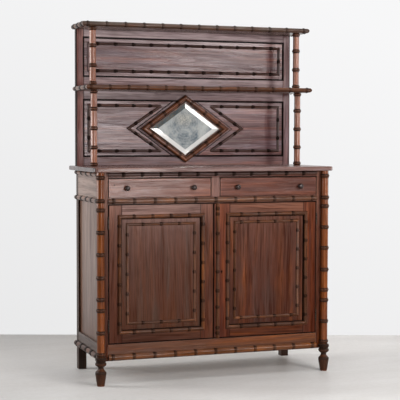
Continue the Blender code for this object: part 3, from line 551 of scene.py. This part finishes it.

# Painted sheen: a paler, greyer colour and its share at each height, where the light's sheen falls on the doors, the
# front posts, the sides, the shelves and the upper back. On the upper back the bands just under the mid shelf and
# under the top board are painted light over their shade.
painted_sheen_by_group = {
    "door_right": ((0.270, 0.125, 0.085), ((0.25, 0), (0.55, 0.10), (0.74, 0.20), (0.80, 0.34), (0.86, 0.60))),
    "door_left": ((0.310, 0.175, 0.145), ((0.25, 0), (0.55, 0.03), (0.74, 0.14), (0.80, 0.44), (0.86, 1))),
    "side": ((0.230, 0.150, 0.115), ((0.25, 0), (0.60, 0.35), (0.88, 0.55), (0.95, 0.85))),
    "upper": ((0.440, 0.325, 0.330), (
        (1.31, 0), (1.39, 0.3), (1.415, 1), (1.455, 1), (1.46, 0), (1.485, 0.5), (1.53, 0.5), (1.56, 0), (1.68, 0),
        (1.735, 1),
    )),
}


def board_wood(name, axis, group, **changes):
    """Wood of a flat board; the doors are duller, boards that lie crosswise smoother."""
    light, dark, warm, cool = pine[group]
    door = group.startswith("door")
    changes.setdefault("gloss", 0.22 if door else 0.5)
    roughness = 0.36 if door or axis != "X" else 0.26
    anisotropy = 0.0 if door else 0.6
    return wood(name, light, dark, axis, warm, cool, roughness=roughness, anisotropy=anisotropy, **changes)


def cane_look(name, light, dark, warm, cool, rings=0.35, roughness=0.34, **changes):
    """Wood of a turned or split piece: closer rings that follow the piece."""
    return wood(name, light, dark, None, warm, cool, rings=rings, spacing=0.004, roughness=roughness, **changes)


column_wood = cane_look(
    "column_wood", (0.215, 0.050, 0.004), (0.070, 0.014, 0.002), (0.310, 0.084, 0.007), (0.115, 0.042, 0.018),
    rings=0.4, cool_share=0.3, gloss=0.25, coat=0.35, coat_roughness=0.12, along=3, stain=(0.026, 0.016, 0.012),
)
post_wood = cane_look(
    "post_wood", (0.300, 0.105, 0.052), (0.125, 0.040, 0.020), (0.400, 0.138, 0.058), (0.180, 0.090, 0.070),
    rings=0.4, streaks=0.6, gloss=0.3, coat=0.6, coat_roughness=0.12, along=3,
)
cane_wood = cane_look(
    "cane_wood", (0.130, 0.048, 0.020), (0.045, 0.016, 0.008), (0.280, 0.095, 0.026), (0.110, 0.070, 0.055),
    gloss=0.4, coat=0.15, coat_roughness=0.2, along=4,
)
warm_cane_wood = cane_look(
    "warm_cane_wood", (0.170, 0.052, 0.010), (0.060, 0.016, 0.004), (0.330, 0.098, 0.013), (0.095, 0.043, 0.021),
    gloss=0.2, coat=0.35, coat_roughness=0.12, along=4,
)
mirror_cane_wood = cane_look(
    "mirror_cane_wood", (0.150, 0.050, 0.022), (0.050, 0.016, 0.008), (0.330, 0.096, 0.024), (0.100, 0.052, 0.040),
    gloss=0.3, coat=0.2, coat_roughness=0.15, along=4,
)
door_cane_wood = cane_look(
    "door_cane_wood", (0.100, 0.034, 0.012), (0.038, 0.012, 0.005), (0.290, 0.085, 0.016), (0.070, 0.042, 0.034),
    gloss=0.2, coat=0.12, coat_roughness=0.15, along=3,
)
shelf_cane_wood = cane_look(
    "shelf_cane_wood", (0.090, 0.042, 0.023), (0.036, 0.015, 0.008), (0.170, 0.056, 0.022), (0.085, 0.062, 0.048),
    rings=0.3, gloss=0.4, coat=0.15, coat_roughness=0.2, along=4,
)
dim_cane_wood = cane_look(
    "dim_cane_wood", (0.060, 0.026, 0.019), (0.026, 0.011, 0.008), (0.110, 0.036, 0.018), (0.070, 0.045, 0.045),
    rings=0.3, roughness=0.36, gloss=0.3,
)
# A paler cane for the strip beside the left upper post: painted light over the shade it lies in.
pale_cane_wood = cane_look(
    "pale_cane_wood", (0.190, 0.105, 0.100), (0.080, 0.040, 0.040), (0.200, 0.090, 0.070), (0.180, 0.140, 0.150),
    rings=0.3, roughness=0.36, gloss=0.3,
)
knob_wood = cane_look(
    "knob_wood", (0.030, 0.013, 0.009), (0.012, 0.006, 0.005), (0.050, 0.018, 0.010), (0.030, 0.020, 0.018),
    rings=0.3, roughness=0.28, gloss=0.4, coat=0.2, coat_roughness=0.12,
)


def metal(name, colour, tarnish, roughness):
    made, tree, principled = shader(name)
    plus, _, times = arithmetic(tree)
    raw = node(tree, "ShaderNodeTexCoord").outputs["Object"]
    patch = ramp(tree, noise(tree, raw, (140, 140, 140), 4, 0.65), [(0.35, 0), (0.65, 1)])
    tree.links.new(mix_colour(tree, patch, colour, tarnish), principled.inputs["Base Color"])
    tree.links.new(plus(times(patch, 0.25), roughness), principled.inputs["Roughness"])
    principled.inputs["Metallic"].default_value = 1
    return made


iron = metal("old_iron", (0.10, 0.085, 0.07), (0.035, 0.025, 0.02), 0.42)
brass = metal("old_brass", (0.45, 0.30, 0.11), (0.14, 0.09, 0.05), 0.32)


def silvering():
    """Old silver behind bevelled glass: cloudy and flecked, its greys partly a painted reflection; the bevels are
    painted reflections, near white, with one bevel turned from the light painted dark.
    """
    made, tree, principled = shader("old_silvering")
    plus, minus, times = arithmetic(tree)
    raw = node(tree, "ShaderNodeTexCoord").outputs["Object"]
    place = node(tree, "ShaderNodeSeparateXYZ")
    tree.links.new(raw, place.inputs[0])
    cloud = ramp(tree, noise(tree, raw, (13, 13, 13), 6, 0.66), [(0.38, 0), (0.62, 1)])
    fine = ramp(tree, noise(tree, raw, (70, 70, 70), 4, 0.7), [(0.40, 0), (0.68, 1)])
    speck = ramp(tree, noise(tree, raw, (150, 150, 150), 3, 0.7), [(0.50, 0), (0.58, 1)])

    # A worn place a little above the middle
    aside = minus(place.outputs[0], mirror_x - 0.010)
    above = minus(place.outputs[2], mirror_z + 0.052)
    square = plus(times(aside, aside), times(times(above, above), 2.6))
    near = ramp(tree, math_node(tree, "SQRT", square), [(0.010, 1), (0.075, 0)])
    flecks = times(near, speck)

    swirl = node(tree, "ShaderNodeTexWave", wave_type="RINGS", rings_direction="Y")
    shift = node(tree, "ShaderNodeMapping")
    tree.links.new(raw, shift.inputs["Vector"])
    shift.inputs["Location"].default_value = (-mirror_x, 0, -mirror_z - 0.03)
    tree.links.new(shift.outputs[0], swirl.inputs["Vector"])
    swirl.inputs["Scale"].default_value = 22
    swirl.inputs["Distortion"].default_value = 3.5
    swirl.inputs["Detail Scale"].default_value = 9
    # The cloudy greys: foxed silver, and a painted reflection of grey surroundings.
    colour = mix_colour(tree, cloud, (0.640, 0.685, 0.670), (0.150, 0.205, 0.245))
    for share, amount, tint in (
        (fine, 0.45, (0.680, 0.680, 0.620)), (swirl.outputs["Fac"], 0.22, (0.70, 0.71, 0.70)),
        (near, 0.35, (0.330, 0.300, 0.230)), (flecks, 0.8, (0.78, 0.75, 0.66)),
    ):
        colour = mix_colour(tree, times(share, amount), colour, tint)

    # The bevels: painted reflections, dark at the upper left and near white elsewhere; the upper right has no shine
    # of its own.
    turned = 0.02
    facing = node(tree, "ShaderNodeSeparateXYZ")
    tree.links.new(node(tree, "ShaderNodeNewGeometry").outputs["True Normal"], facing.inputs[0])
    bevel = math_node(tree, "GREATER_THAN", math_node(tree, "ABSOLUTE", facing.outputs[0]), turned)
    left = math_node(tree, "LESS_THAN", facing.outputs[0], -turned)
    upper = math_node(tree, "GREATER_THAN", facing.outputs[2], turned)
    dim = times(left, upper)
    spotted = mix_colour(tree, speck, (0.120, 0.155, 0.165), (0.200, 0.130, 0.075))
    painted_dark_reflection = mix_colour(tree, cloud, spotted, (0.050, 0.062, 0.068))
    painted_bright_reflection = mix_colour(tree, times(cloud, 0.25), (0.95, 0.95, 0.92), (0.70, 0.72, 0.70))
    edge = mix_colour(tree, dim, painted_bright_reflection, painted_dark_reflection)
    tree.links.new(mix_colour(tree, bevel, colour, edge), principled.inputs["Base Color"])
    principled.inputs["Roughness"].default_value = 0.06
    right = times(math_node(tree, "GREATER_THAN", facing.outputs[0], turned), upper)
    lit = minus(1, plus(dim, times(right, 0.9)))
    tree.links.new(times(lit, 0.25), principled.inputs["Metallic"])
    tree.links.new(times(lit, 0.5), principled.inputs["Specular IOR Level"])
    return made


# CAD nodes that stay: grain along each board and slightly worn edges


def dress(name, material, edge=None, soften=0.0009):
    held = nodes[name]
    held.data.materials.clear()
    held.data.materials.append(material)
    weld = held.modifiers.new("weld", "WELD")
    weld.merge_threshold = 0.00002
    bevel = held.modifiers.new("softened_edges", "BEVEL")
    bevel.width = soften
    bevel.segments = 2
    bevel.limit_method = "ANGLE"
    bevel.angle_limit = math.radians(60)
    bevel.harden_normals = False
    if edge is not None:
        held.data.materials.append(edge)
        bevel.material = 1


edge_wood = wood("worn_edge", (0.200, 0.095, 0.060), (0.080, 0.034, 0.022), "X", rings=0.2, roughness=0.45)
beyond = 0.1  # takes a line or a limit off the piece
window = upper_half_width - back_stile
openings = {
    "door_left_frame": (-hung + left_door_stiles[0], meeting[0] - left_door_stiles[1]),
    "door_right_frame": (meeting[1] + right_door_stiles[0], hung - right_door_stiles[1]),
    "upper_back_frame": (-window, window),
    "worktop": (-half_width - worktop_over + 0.0045, half_width + beyond),
}
lower_low, lower_high = worktop_height + seat + back_rails[0], mid_shelf_under - back_rails[1]
upper_low, upper_high = mid_shelf_top + back_rails[2], top_board_under - seat - back_rails[3]
# Painted shade: dark lines round the back frame's outer edges and round the panels' windows.
back_outline = (-upper_half_width, upper_half_width, worktop_height - beyond, top_board_under + beyond, 0.0050)
upper_window = (-window, window, upper_low, upper_high, 0.0058)
lower_window = (-window, window, lower_low, lower_high, 0.0058)
gap_line = 0.0042  # half widths of the lines of painted shade in gaps and recesses
edge_line = 0.0040
door_windows = {
    side: (*openings[f"door_{side}_frame"], door_low + door_foot_rail, door_high - door_head_rail, gap_line)
    for side, _ in sides
}
field = (mirror_x, mirror_z, mirror_slope, 0.1566, 0.0050)  # the flat diamond of the lower panel; the shade at its edge is painted as a dark line
drawer_edges = {
    side: (*sorted((sign * drawer_near, sign * drawer_far)), drawer_sill, drawer_top) for side, sign in sides
}
door_edges = {"left": (-hung, meeting[0], door_low, door_high), "right": (meeting[1], hung, door_low, door_high)}
door_gaps = [(*edges, gap_line) for edges in door_edges.values()]
stile_tones = {"left": (1.27, 1.10, 0.98), "right": (1.28, 1.06, 0.82)}
# A keyhole painted as two dark spots: painted shade of a hole that isn't cut.
keyhole = [(0.0335, 0.5410, 0.0062), (0.0335, 0.5345, 0.0036)]
board_looks = {
    # The worktop's left end is tinted blue-grey: a painted reflection of a cool light.
    "worktop": ("X", "worktop", {"outer_tone": (0.42, 0.50, 0.54), "left_only": True}),
    # The front rails carry painted shade lines along the drawers' and doors' gaps.
    "front_top_rail": ("X", "drawer_right", {"outlines": [(*edges, 0.0060) for edges in drawer_edges.values()]}),
    "front_mid_rail": ("X", "drawer_right", {"outlines": door_gaps}),
    "front_bottom_rail": ("X", "bottom", {"streaks": 0.5, "gloss": 0.3, "outlines": door_gaps}),
    "drawer_divider": ("Z", "drawer_left", {"streaks": 0.3}),
    "upper_panel": ("X", "upper", {"spacing": 0.009, "outlines": [upper_window]}),
    "lower_panel": ("X", "upper", {"spacing": 0.009, "outlines": [lower_window], "diamonds": [field]}),
    "mid_shelf": ("X", "side", {}),
    "top_board": ("X", "side", {}),
    # The nail hole is a dark spot: painted shade of a hole that isn't cut.
    "drawer_left_front": ("X", "drawer_left", {"streaks": 0.4, "spots": [(-0.5290, 0.9850, 0.0042)]}),
    "drawer_right_front": ("X", "drawer_right", {}),
    "door_left_panel": ("Z", "door_left", {"spacing": 0.008, "warm_share": 0.35, "cool_share": 0.8, "streaks": 0.4}),
    "door_right_panel": (
        "Z", "door_right", {"spacing": 0.008, "broad": 2.1, "cool_share": 0.75, "along": 1.4, "streaks": 0.75},
    ),
    "upper_back_frame": ("Z", "upper", {
        "outlines": [upper_window, lower_window, back_outline], "outer_tone": (1.05, 0.62, 0.48), "left_only": True,
        "spacing": 0.009,
    }),
}
for side, _ in sides:
    board_looks[f"rear_leg_{side}"] = ("Z", "leg", {"gloss": 0.12})
    board_looks[f"front_post_{side}"] = ("Z", "door_right", {})
    board_looks[f"side_top_rail_{side}"] = ("Y", "side", {})
    board_looks[f"side_bottom_rail_{side}"] = ("Y", "low_side", {})
    board_looks[f"side_panel_{side}"] = ("Z", "side", {})
    # Door frames: painted shade lines at the panel's recess and round the door's edges.
    board_looks[f"door_{side}_frame"] = ("Z", f"door_{side}", {
        "outlines": [door_windows[side], (*door_edges[side], edge_line)], "outer_tone": stile_tones[side],
    })
    # Drawer fronts: a painted shade line round the edge, and a rubbed paler rectangle inside it.
    edges = drawer_edges[side]
    inner = (edges[0] + 0.0062, edges[1] - 0.0062, edges[2] + 0.0030, edges[3] - 0.0062, 0.0018)
    board_looks[f"drawer_{side}_front"][2].update(outlines=[(*edges, edge_line)], worn=[inner])
# Boards whose edges aren't rubbed pale
crisp = {"upper_back_frame", "upper_panel", "lower_panel", "door_left_frame", "door_right_frame"}
for name, (axis, group, changes) in board_looks.items():
    # Painted sheen by height for the doors, front posts, sides, shelves and upper back.
    if group in painted_sheen_by_group:
        changes["fade"] = painted_sheen_by_group[group]
    if name == "door_right_frame":
        changes["spots"] = keyhole
    material = board_wood(f"wood_{name}", axis, group, joints=openings.get(name), **changes)
    dress(name, material, None if name in crisp else edge_wood)

raw_light = (0.42, 0.26, 0.13)
raw_dark = (0.24, 0.13, 0.06)
raw_axes = {
    "bottom_board": "X", "cupboard_shelf": "X", "drawer_runner_frame": "X", "base_back": "Z",
    "shelf_cleat_left": "Y", "shelf_cleat_right": "Y",
    "drawer_left_box": "Y", "drawer_right_box": "Y", "drawer_left_bottom": "X", "drawer_right_bottom": "X",
}
for name, axis in raw_axes.items():
    dress(name, wood(
        f"raw_{name}", raw_light, raw_dark, axis, rings=0.5, streaks=0.3, blotch=0.3, roughness=0.7,
        warm=(0.40, 0.22, 0.10),
    ))
for side, _ in sides:
    for level in ("lower", "upper"):
        for leaf in ("post_leaf", "door_leaf"):
            dress(f"hinge_{side}_{level}_{leaf}", iron, soften=0.0002)
dress("lock_case", brass, soften=0.0004)
dress("lock_bolt", brass, soften=0.0004)
# Painted shade: dark lines beside the mirror's cane, on the frame under it.
diamond_lines = [(mirror_x, mirror_z, mirror_slope, far, 0.0024) for far in (0.1195, 0.1495)]
dress("mirror_frame", wood(
    "wood_mirror_frame", (0.120, 0.038, 0.016), (0.040, 0.012, 0.007), "X", (0.480, 0.150, 0.026),
    diamonds=diamond_lines, along=4, warm_share=0.85,
))
nodes["mirror"].data.materials.clear()
nodes["mirror"].data.materials.append(silvering())

# Bamboo turnings: corner columns with their feet, posts and knobs

# Knots in shares of the length; the foot in (radius, share of its height, stain)
column_shares = (0.0115, 0.130, 0.252, 0.3115, 0.429, 0.555, 0.675, 0.796, 0.846, 0.9705)
foot_height = 0.145
foot_points = (
    (0.0180, 0, 0.0), (0.0187, 0.012, 0.35), (0.0200, 0.06, 0.68), (0.0272, 0.395, 0.72), (0.0277, 0.42, 0.8),
    (0.0279, 0.45, 0.9), (0.0270, 0.478, 0.9), (0.0215, 0.52, 0.7), (0.0165, 0.565, 0.6), (0.0141, 0.605, 0.8),
    (0.0141, 0.635, 0.9), (0.0175, 0.66, 1), (0.0235, 0.69, 0.9), (0.0272, 0.72, 0.7), (0.0279, 0.752, 0.7),
    (0.0270, 0.785, 0.8), (0.0232, 0.803, 1), (0.0215, 0.81, 1), (0.0238, 0.816, 1), (0.0248, 0.83, 0.8),
    (0.0238, 0.845, 1), (0.0205, 0.853, 1), (0.0225, 0.862, 1), (0.0270, 0.872, 0.9), (0.0286, 0.892, 0.8),
    (0.0281, 0.912, 0.9), (0.0248, 0.922, 1), (0.0240, 0.927, 1), (0.0262, 0.934, 1), (0.0285, 0.945, 0.9),
    (0.0277, 0.958, 0.9), (0.0225, 0.972, 1), (0.0196, 0.985, 0.8),
)
posts = (
    (
        "lower", back_face - mid_shelf_depth + lower_post_set, worktop_height + seat, mid_shelf_under - seat,
        (0.026, 0.248, 0.497, 0.750, 0.974),
    ),
    (
        "upper", back_face - top_board_depth + upper_post_set, mid_shelf_under + shelf_board + seat,
        top_board_under - seat, (0.034, 0.337, 0.674, 0.966),
    ),
)
for side, sign in sides:
    top = worktop_under - seat
    knots = [share * (top - foot_height) for share in column_shares]
    profile = [(r, share * foot_height, stain) for r, share, stain in foot_points]
    profile += cane_turning(top - foot_height, 0.0190, 0.0236, knots, 0.0070, foot_height, 0.68)
    turning(
        f"column_{side}", profile, (sign * (half_width + column_out), front_face - column_forward, 0), "cabinet",
        column_wood, [f"front_column_{side}"],
    )
    for level, y, low, high, shares in posts:
        length = high - low
        profile = cane_turning(length, 0.0162, 0.0214, [share * length for share in shares], 0.0068, crown=0.65)
        turning(
            f"post_{level}_{side}", profile, (sign * (upper_half_width - post_inset), y, low), "cabinet",
            post_wood, [f"{level}_post_{side}"],
        )

knob_points = (  # radius, distance out from the drawer's face, stain
    (0.0040, -0.0115, 0), (0.0098, 0.0003, 0.5), (0.0100, 0.0012, 0.5), (0.0092, 0.0022, 0.5), (0.0074, 0.0045, 0.3),
    (0.0070, 0.0070, 0.2), (0.0078, 0.0092, 0.2), (0.0108, 0.0108, 0.2), (0.0128, 0.0128, 0), (0.0135, 0.0150, 0),
    (0.0133, 0.0172, 0), (0.0124, 0.0194, 0), (0.0104, 0.0214, 0), (0.0082, 0.0226, 0.3), (0.0078, 0.0226, 0.3),
    (0.0060, 0.0234, 0), (0.0030, 0.0240, 0), (0.0004, 0.0241, 0),
)
knob_share = 0.324  # a knob's distance from the drawer's middle, in drawer widths
for side, sign in sides:
    middle = sign * (drawer_near + drawer_far) / 2
    for end, way in sides:
        x = middle + way * knob_share * (drawer_far - drawer_near)
        turning(
            f"knob_{side}_{end}", knob_points, (x, front_face, (drawer_sill + drawer_top) / 2), f"drawer_{side}",
            knob_wood, [f"drawer_{side}_knob_{end}"], direction="-Y", steps=32,
        )

# Half-round bamboo on the rails, the sides and the shelves

y = front_face + sink
reach = post_inner - seat
# The top strip lies in the shade of the worktop's overhang: its darker cane and knots dark all round are painted
# shade.
for name, z, radius, end_share, material in (
    ("top", worktop_under - seat - 0.0123, 0.0100, 0.069, dim_cane_wood),
    ("mid", drawer_sill - 0.0152, 0.0115, 0.024, cane_wood),
    ("bottom", bottom_rail_low + 0.0145 + knot_rise + seat, 0.0145, 0.0195, warm_cane_wood),
):
    canes(
        f"front_{name}_cane", ((-reach, y, z), (reach, y, z)), (0, -1, 0), radius, [even(11, end_share)], "cabinet",
        material, front=1 if name == "top" else 0.6,
    )
    for side, sign in sides:
        x = sign * (half_width + seat)
        clear = 0.0285 if name == "bottom" else 0.0235
        start = front_face - column_forward + clear + seat
        # Knots on the sides are wider; the extra width is painted shade beside each knot.
        canes(
            f"side_{name}_cane_{side}", ((x, start, z), (x, back_face, z)), (sign, 0, 0), radius, [even(5, 0.07)],
            "cabinet", door_cane_wood if name == "bottom" else cane_wood, front=1, half=0.013,
        )

for name, low, half, depth, radius, front_shares, side_shares in (
    ("mid_shelf", mid_shelf_under, upper_half_width + mid_shelf_over, mid_shelf_depth, 0.0115, even(13, 0.0112),
     even(3, 0.14)),
    ("top_board", top_board_under, upper_half_width + top_board_over, top_board_depth, 0.0120, even(13, 0.015),
     even(3, 0.14)),
):
    x = half - sink
    y = back_face - depth + sink
    z = low + shelf_board / 2
    # The shelves' side strips have wider knots; the extra width is painted shade beside each knot.
    canes(
        f"{name}_cane", ((-x, back_face, z), (-x, y, z), (x, y, z), (x, back_face, z)), (0, 0, 1), radius,
        (side_shares, front_shares, [1 - s for s in reversed(side_shares)]), "cabinet",
        (cane_wood, door_cane_wood if name == "mid_shelf" else shelf_cane_wood, shelf_cane_wood), on_edge=True,
        front=(1, 0.5, 1), half=(0.016, knot_half, knot_half),
    )

# Doors: outer and inner frames of bamboo, astragal

upright = even(6, 0.078)
across = even(4, 0.17)
outer_off = 0.012  # the outer frame's middle line outside the panel's opening
for side, sign in sides:
    x0, x1, z0, z1, _ = door_windows[side]
    outer = canes(
        f"door_{side}_outer_cane", rectangle(
            x0 - outer_off, x1 + outer_off, z0 - outer_off, z1 + outer_off, front_face - seat,
        ), (0, -1, 0), 0.0092, (across, upright, across, upright), f"door_{side}", door_cane_wood, closed=True,
    )
    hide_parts(f"door_{side}_trim")
    level = even(3, 0.23) if sign < 0 else even(4, 0.10)
    canes(
        f"door_{side}_inner_cane",
        rectangle(x0 + 0.030, x1 - 0.030, z0 + 0.0315, z1 - 0.0275, door_panel_face + sink),
        (0, -1, 0), 0.0068, (level, even(5, 0.10), level, even(5, 0.10)), f"door_{side}",
        (door_cane_wood, cane_wood, door_cane_wood, cane_wood if sign < 0 else door_cane_wood), closed=True,
    )
x, y = meeting[1] + 0.0205, front_face + sink
short = 0.0005  # how far the astragal stops short of the door's ends
canes(
    "astragal_cane", ((x, y, door_low + short), (x, y, door_high - short)), (0, -1, 0), 0.0095,
    [(0.037, 0.076, 0.23, 0.351, 0.493, 0.633, 0.776, 0.920, 0.960)], "door_right", door_cane_wood,
)

# Upper back: strips on both panels, the diamond mirror's frame

slim = 0.0075  # radius of these strips and half width of their knots
arrow_near, arrow_far = 0.142, 0.322
y = back_panel_face + sink
low, high = upper_low + 0.030, upper_high - 0.030
# The left strip of the upper panel is paler and hardly darkened at its foot: painted light over the left post's
# shade.
canes(
    "upper_panel_cane", rectangle(-window + 0.0265, window - 0.0265, low, high, y), (0, -1, 0), slim,
    (even(11, 0.044), [0.5], even(11, 0.044), [0.5]), "cabinet",
    (dim_cane_wood, dim_cane_wood, dim_cane_wood, pale_cane_wood), closed=True, front=(1, 1, 1, 0.05), half=slim,
)
low, high = lower_low + 0.0278, lower_high - 0.0278
shares, slant = (0.155, 0.385, 0.62, 0.86), (0.31, 0.78)
for side, sign in sides:
    edge, near, far = (sign * distance for distance in (window - 0.028, arrow_near, arrow_far))
    canes(
        f"lower_panel_cane_{side}", ((near, y, high), (edge, y, high), (edge, y, low), (near, y, low)), (0, -1, 0),
        slim, (shares, (0.29, 0.71), [1 - s for s in reversed(shares)]), "cabinet", dim_cane_wood, front=1, half=slim,
    )
    canes(
        f"lower_panel_arrow_{side}", ((near, y, high), (far, y, (low + high) / 2), (near, y, low)), (0, -1, 0), slim,
        (slant, [1 - s for s in reversed(slant)]), "cabinet", dim_cane_wood, front=1, half=slim,
    )


def diamond(distance):
    """Half width and half height of a diamond whose sides are this far from its middle."""
    half = distance * math.hypot(1, mirror_slope) / mirror_slope
    return half, half * mirror_slope


half, rise = diamond(0.1347)
y = mirror_face + sink
corners = [(mirror_x + a, y, mirror_z + b) for a, b in ((-half, 0), (0, -rise), (half, 0), (0, rise))]
canes("mirror_cane", corners, (0, -1, 0), 0.0120, [(0.18, 0.52, 0.85)] * 4, "cabinet", mirror_cane_wood, closed=True)

# Floor, backdrop, lights and camera

focal_pixels, photo_pixels, sensor_width = 1188.88, 400, 36
camera_place = Vector((-2.1052, -5.8388, 1.2182))
yaw, pitch, roll = (math.radians(a) for a in (-19.8156, -3.003, 0.1182))
forward = Vector((-math.sin(yaw) * math.cos(pitch), math.cos(yaw) * math.cos(pitch), math.sin(pitch)))
right = Vector((math.cos(yaw), math.sin(yaw), 0))
up = right.cross(forward)
tilted_right = math.cos(roll) * right + math.sin(roll) * up
tilted_up = -math.sin(roll) * right + math.cos(roll) * up
camera_data = bpy.data.cameras.new("camera")
camera_data.lens = focal_pixels / photo_pixels * sensor_width
camera_data.sensor_width = sensor_width
camera_data.sensor_fit = "HORIZONTAL"
camera_data.clip_end = 60
camera = bpy.data.objects.new("camera", camera_data)
turn = Matrix((tilted_right, tilted_up, -forward)).transposed().to_4x4()
camera.matrix_world = Matrix.Translation(camera_place) @ turn
bpy.context.scene.collection.objects.link(camera)
bpy.context.scene.camera = camera


def staged(name, bm, material):
    mesh = bpy.data.meshes.new(name)
    bm.to_mesh(mesh)
    bm.free()
    made = bpy.data.objects.new(name, mesh)
    mesh.materials.append(material)
    bpy.context.scene.collection.objects.link(made)


def floor_material():
    made, tree, principled = shader("pale_floor")
    plus, _, times = arithmetic(tree)
    raw = node(tree, "ShaderNodeTexCoord").outputs["Object"]
    cloud = noise(tree, raw, (1.4, 4.5, 1.6), 6, 0.62)
    fine = noise(tree, raw, (40, 40, 40), 3, 0.6)
    tone = plus(times(cloud, 0.7), times(fine, 0.3))
    colour = mix_colour(tree, ramp(tree, tone, [(0.3, 0), (0.7, 1)]), (0.590, 0.572, 0.548), (0.712, 0.700, 0.686))
    tree.links.new(colour, principled.inputs["Base Color"])
    tree.links.new(plus(times(cloud, 0.2), 0.34), principled.inputs["Roughness"])
    principled.inputs["Specular IOR Level"].default_value = 0.10
    return made


floor_half = 16
floor = bmesh.new()
bmesh.ops.create_grid(floor, x_segments=1, y_segments=1, size=floor_half)
staged("floor", floor, floor_material())


def wall_material():
    """Off-white, seen from its front only; to camera and glossy rays it glows, painted light a little brighter
    towards the right and the top.
    """
    aside, upwards, base, most = 0.020, 0.038, 0.837, 0.93
    made, tree, principled = shader("pale_wall")
    principled.inputs["Base Color"].default_value = (0.80, 0.80, 0.80, 1)
    principled.inputs["Roughness"].default_value = 0.9
    path = node(tree, "ShaderNodeLightPath")
    seen = math_node(tree, "MAXIMUM", path.outputs["Is Camera Ray"], path.outputs["Is Glossy Ray"])
    glow = node(tree, "ShaderNodeEmission")
    glow.inputs["Color"].default_value = (1, 1, 1.006, 1)
    slope = node(tree, "ShaderNodeVectorMath", operation="DOT_PRODUCT")
    tree.links.new(node(tree, "ShaderNodeTexCoord").outputs["Object"], slope.inputs[0])
    slope.inputs[1].default_value = (aside * right.x, aside * right.y, upwards)
    level = math_node(tree, "ADD", slope.outputs["Value"], base - aside * camera_place.dot(right))
    tree.links.new(math_node(tree, "MINIMUM", level, most), glow.inputs["Strength"])
    plain = node(tree, "ShaderNodeMixShader")
    tree.links.new(seen, plain.inputs[0])
    tree.links.new(principled.outputs[0], plain.inputs[1])
    tree.links.new(glow.outputs[0], plain.inputs[2])
    clear = node(tree, "ShaderNodeBsdfTransparent")
    sided = node(tree, "ShaderNodeMixShader")
    tree.links.new(node(tree, "ShaderNodeNewGeometry").outputs["Backfacing"], sided.inputs[0])
    tree.links.new(plain.outputs[0], sided.inputs[1])
    tree.links.new(clear.outputs[0], sided.inputs[2])
    tree.links.new(sided.outputs[0], tree.nodes["Material Output"].inputs["Surface"])
    return made


level_forward = Vector((-math.sin(yaw), math.cos(yaw), 0))
wall_away, wall_half, wall_height = 7.30, 9, 6
wall_foot = Vector((camera_place.x, camera_place.y, 0)) + level_forward * wall_away
wall = bmesh.new()
wall_corners = ((-wall_half, 0), (wall_half, 0), (wall_half, wall_height), (-wall_half, wall_height))
corners = [wall_foot + right * a + Vector((0, 0, b)) for a, b in wall_corners]
wall.faces.new([wall.verts.new(c) for c in corners])
staged("wall", wall, wall_material())


def softbox(name, place, aim, width, height, radiance, spread=180, colour=(1, 1, 1)):
    """An area lamp of a given brightness, spread in degrees."""
    data = bpy.data.lights.new(name, "AREA")
    data.shape = "RECTANGLE"
    data.size = width
    data.size_y = height
    data.energy = math.pi * width * height * radiance
    data.spread = math.radians(spread)
    data.color = colour
    made = bpy.data.objects.new(name, data)
    made.location = place
    made.rotation_euler = (Vector(aim) - Vector(place)).to_track_quat("-Z", "Y").to_euler()
    bpy.context.scene.collection.objects.link(made)
    return made


cool_white = (0.975, 0.985, 1.03)
warm_white = (1.03, 0.985, 0.97)
softbox("front_middle", (0.58, -4.2, 1.08), (0, 0, 1.0), 1.0, 0.80, 7.7, spread=120, colour=warm_white)
softbox("front_right", (1.95, -4.2, 2.20), (0, 0, 1.0), 1.2, 0.60, 10.7, spread=120, colour=warm_white)
softbox("front_left", (-1.1, -4.2, 1.90), (0, 0, 1.0), 1.3, 1.1, 5, colour=cool_white)
key = softbox("key", (1.47, -2.5, 1.65), (0, 0, 1.0), 0.30, 0.30, 66)
key.visible_glossy = False
softbox("left_strip", (-2.8, 1.0, 1.60), (0, 0, 1.0), 1.0, 1.8, 3.2, spread=75)
softbox("ceiling", (0.8, -0.8, 3.9), (0, 0, 1.0), 2.4, 2.0, 3)
# Seen only as the pale streaks on the posts and columns
for name, place in (("post_left", (-2.8, -0.6, 1.6)), ("post_right", (3.0, -1.2, 1.4))):
    streak_lamp = softbox(name, place, (0, 0, 1.3), 0.8, 1.6, 9)
    streak_lamp.visible_diffuse = False

world = bpy.data.worlds.new("studio")
bpy.context.scene.world = world
world.use_nodes = True
tree = world.node_tree
background = tree.nodes["Background"]
path = node(tree, "ShaderNodeLightPath")
surroundings = mix_colour(tree, path.outputs["Is Glossy Ray"], (0.32, 0.32, 0.325), (0.10, 0.10, 0.105))
colour = mix_colour(tree, path.outputs["Is Camera Ray"], surroundings, (0.88, 0.88, 0.885))
tree.links.new(colour, background.inputs["Color"])
background.inputs["Strength"].default_value = 1.0
bpy.context.scene.view_settings.view_transform = "Standard"
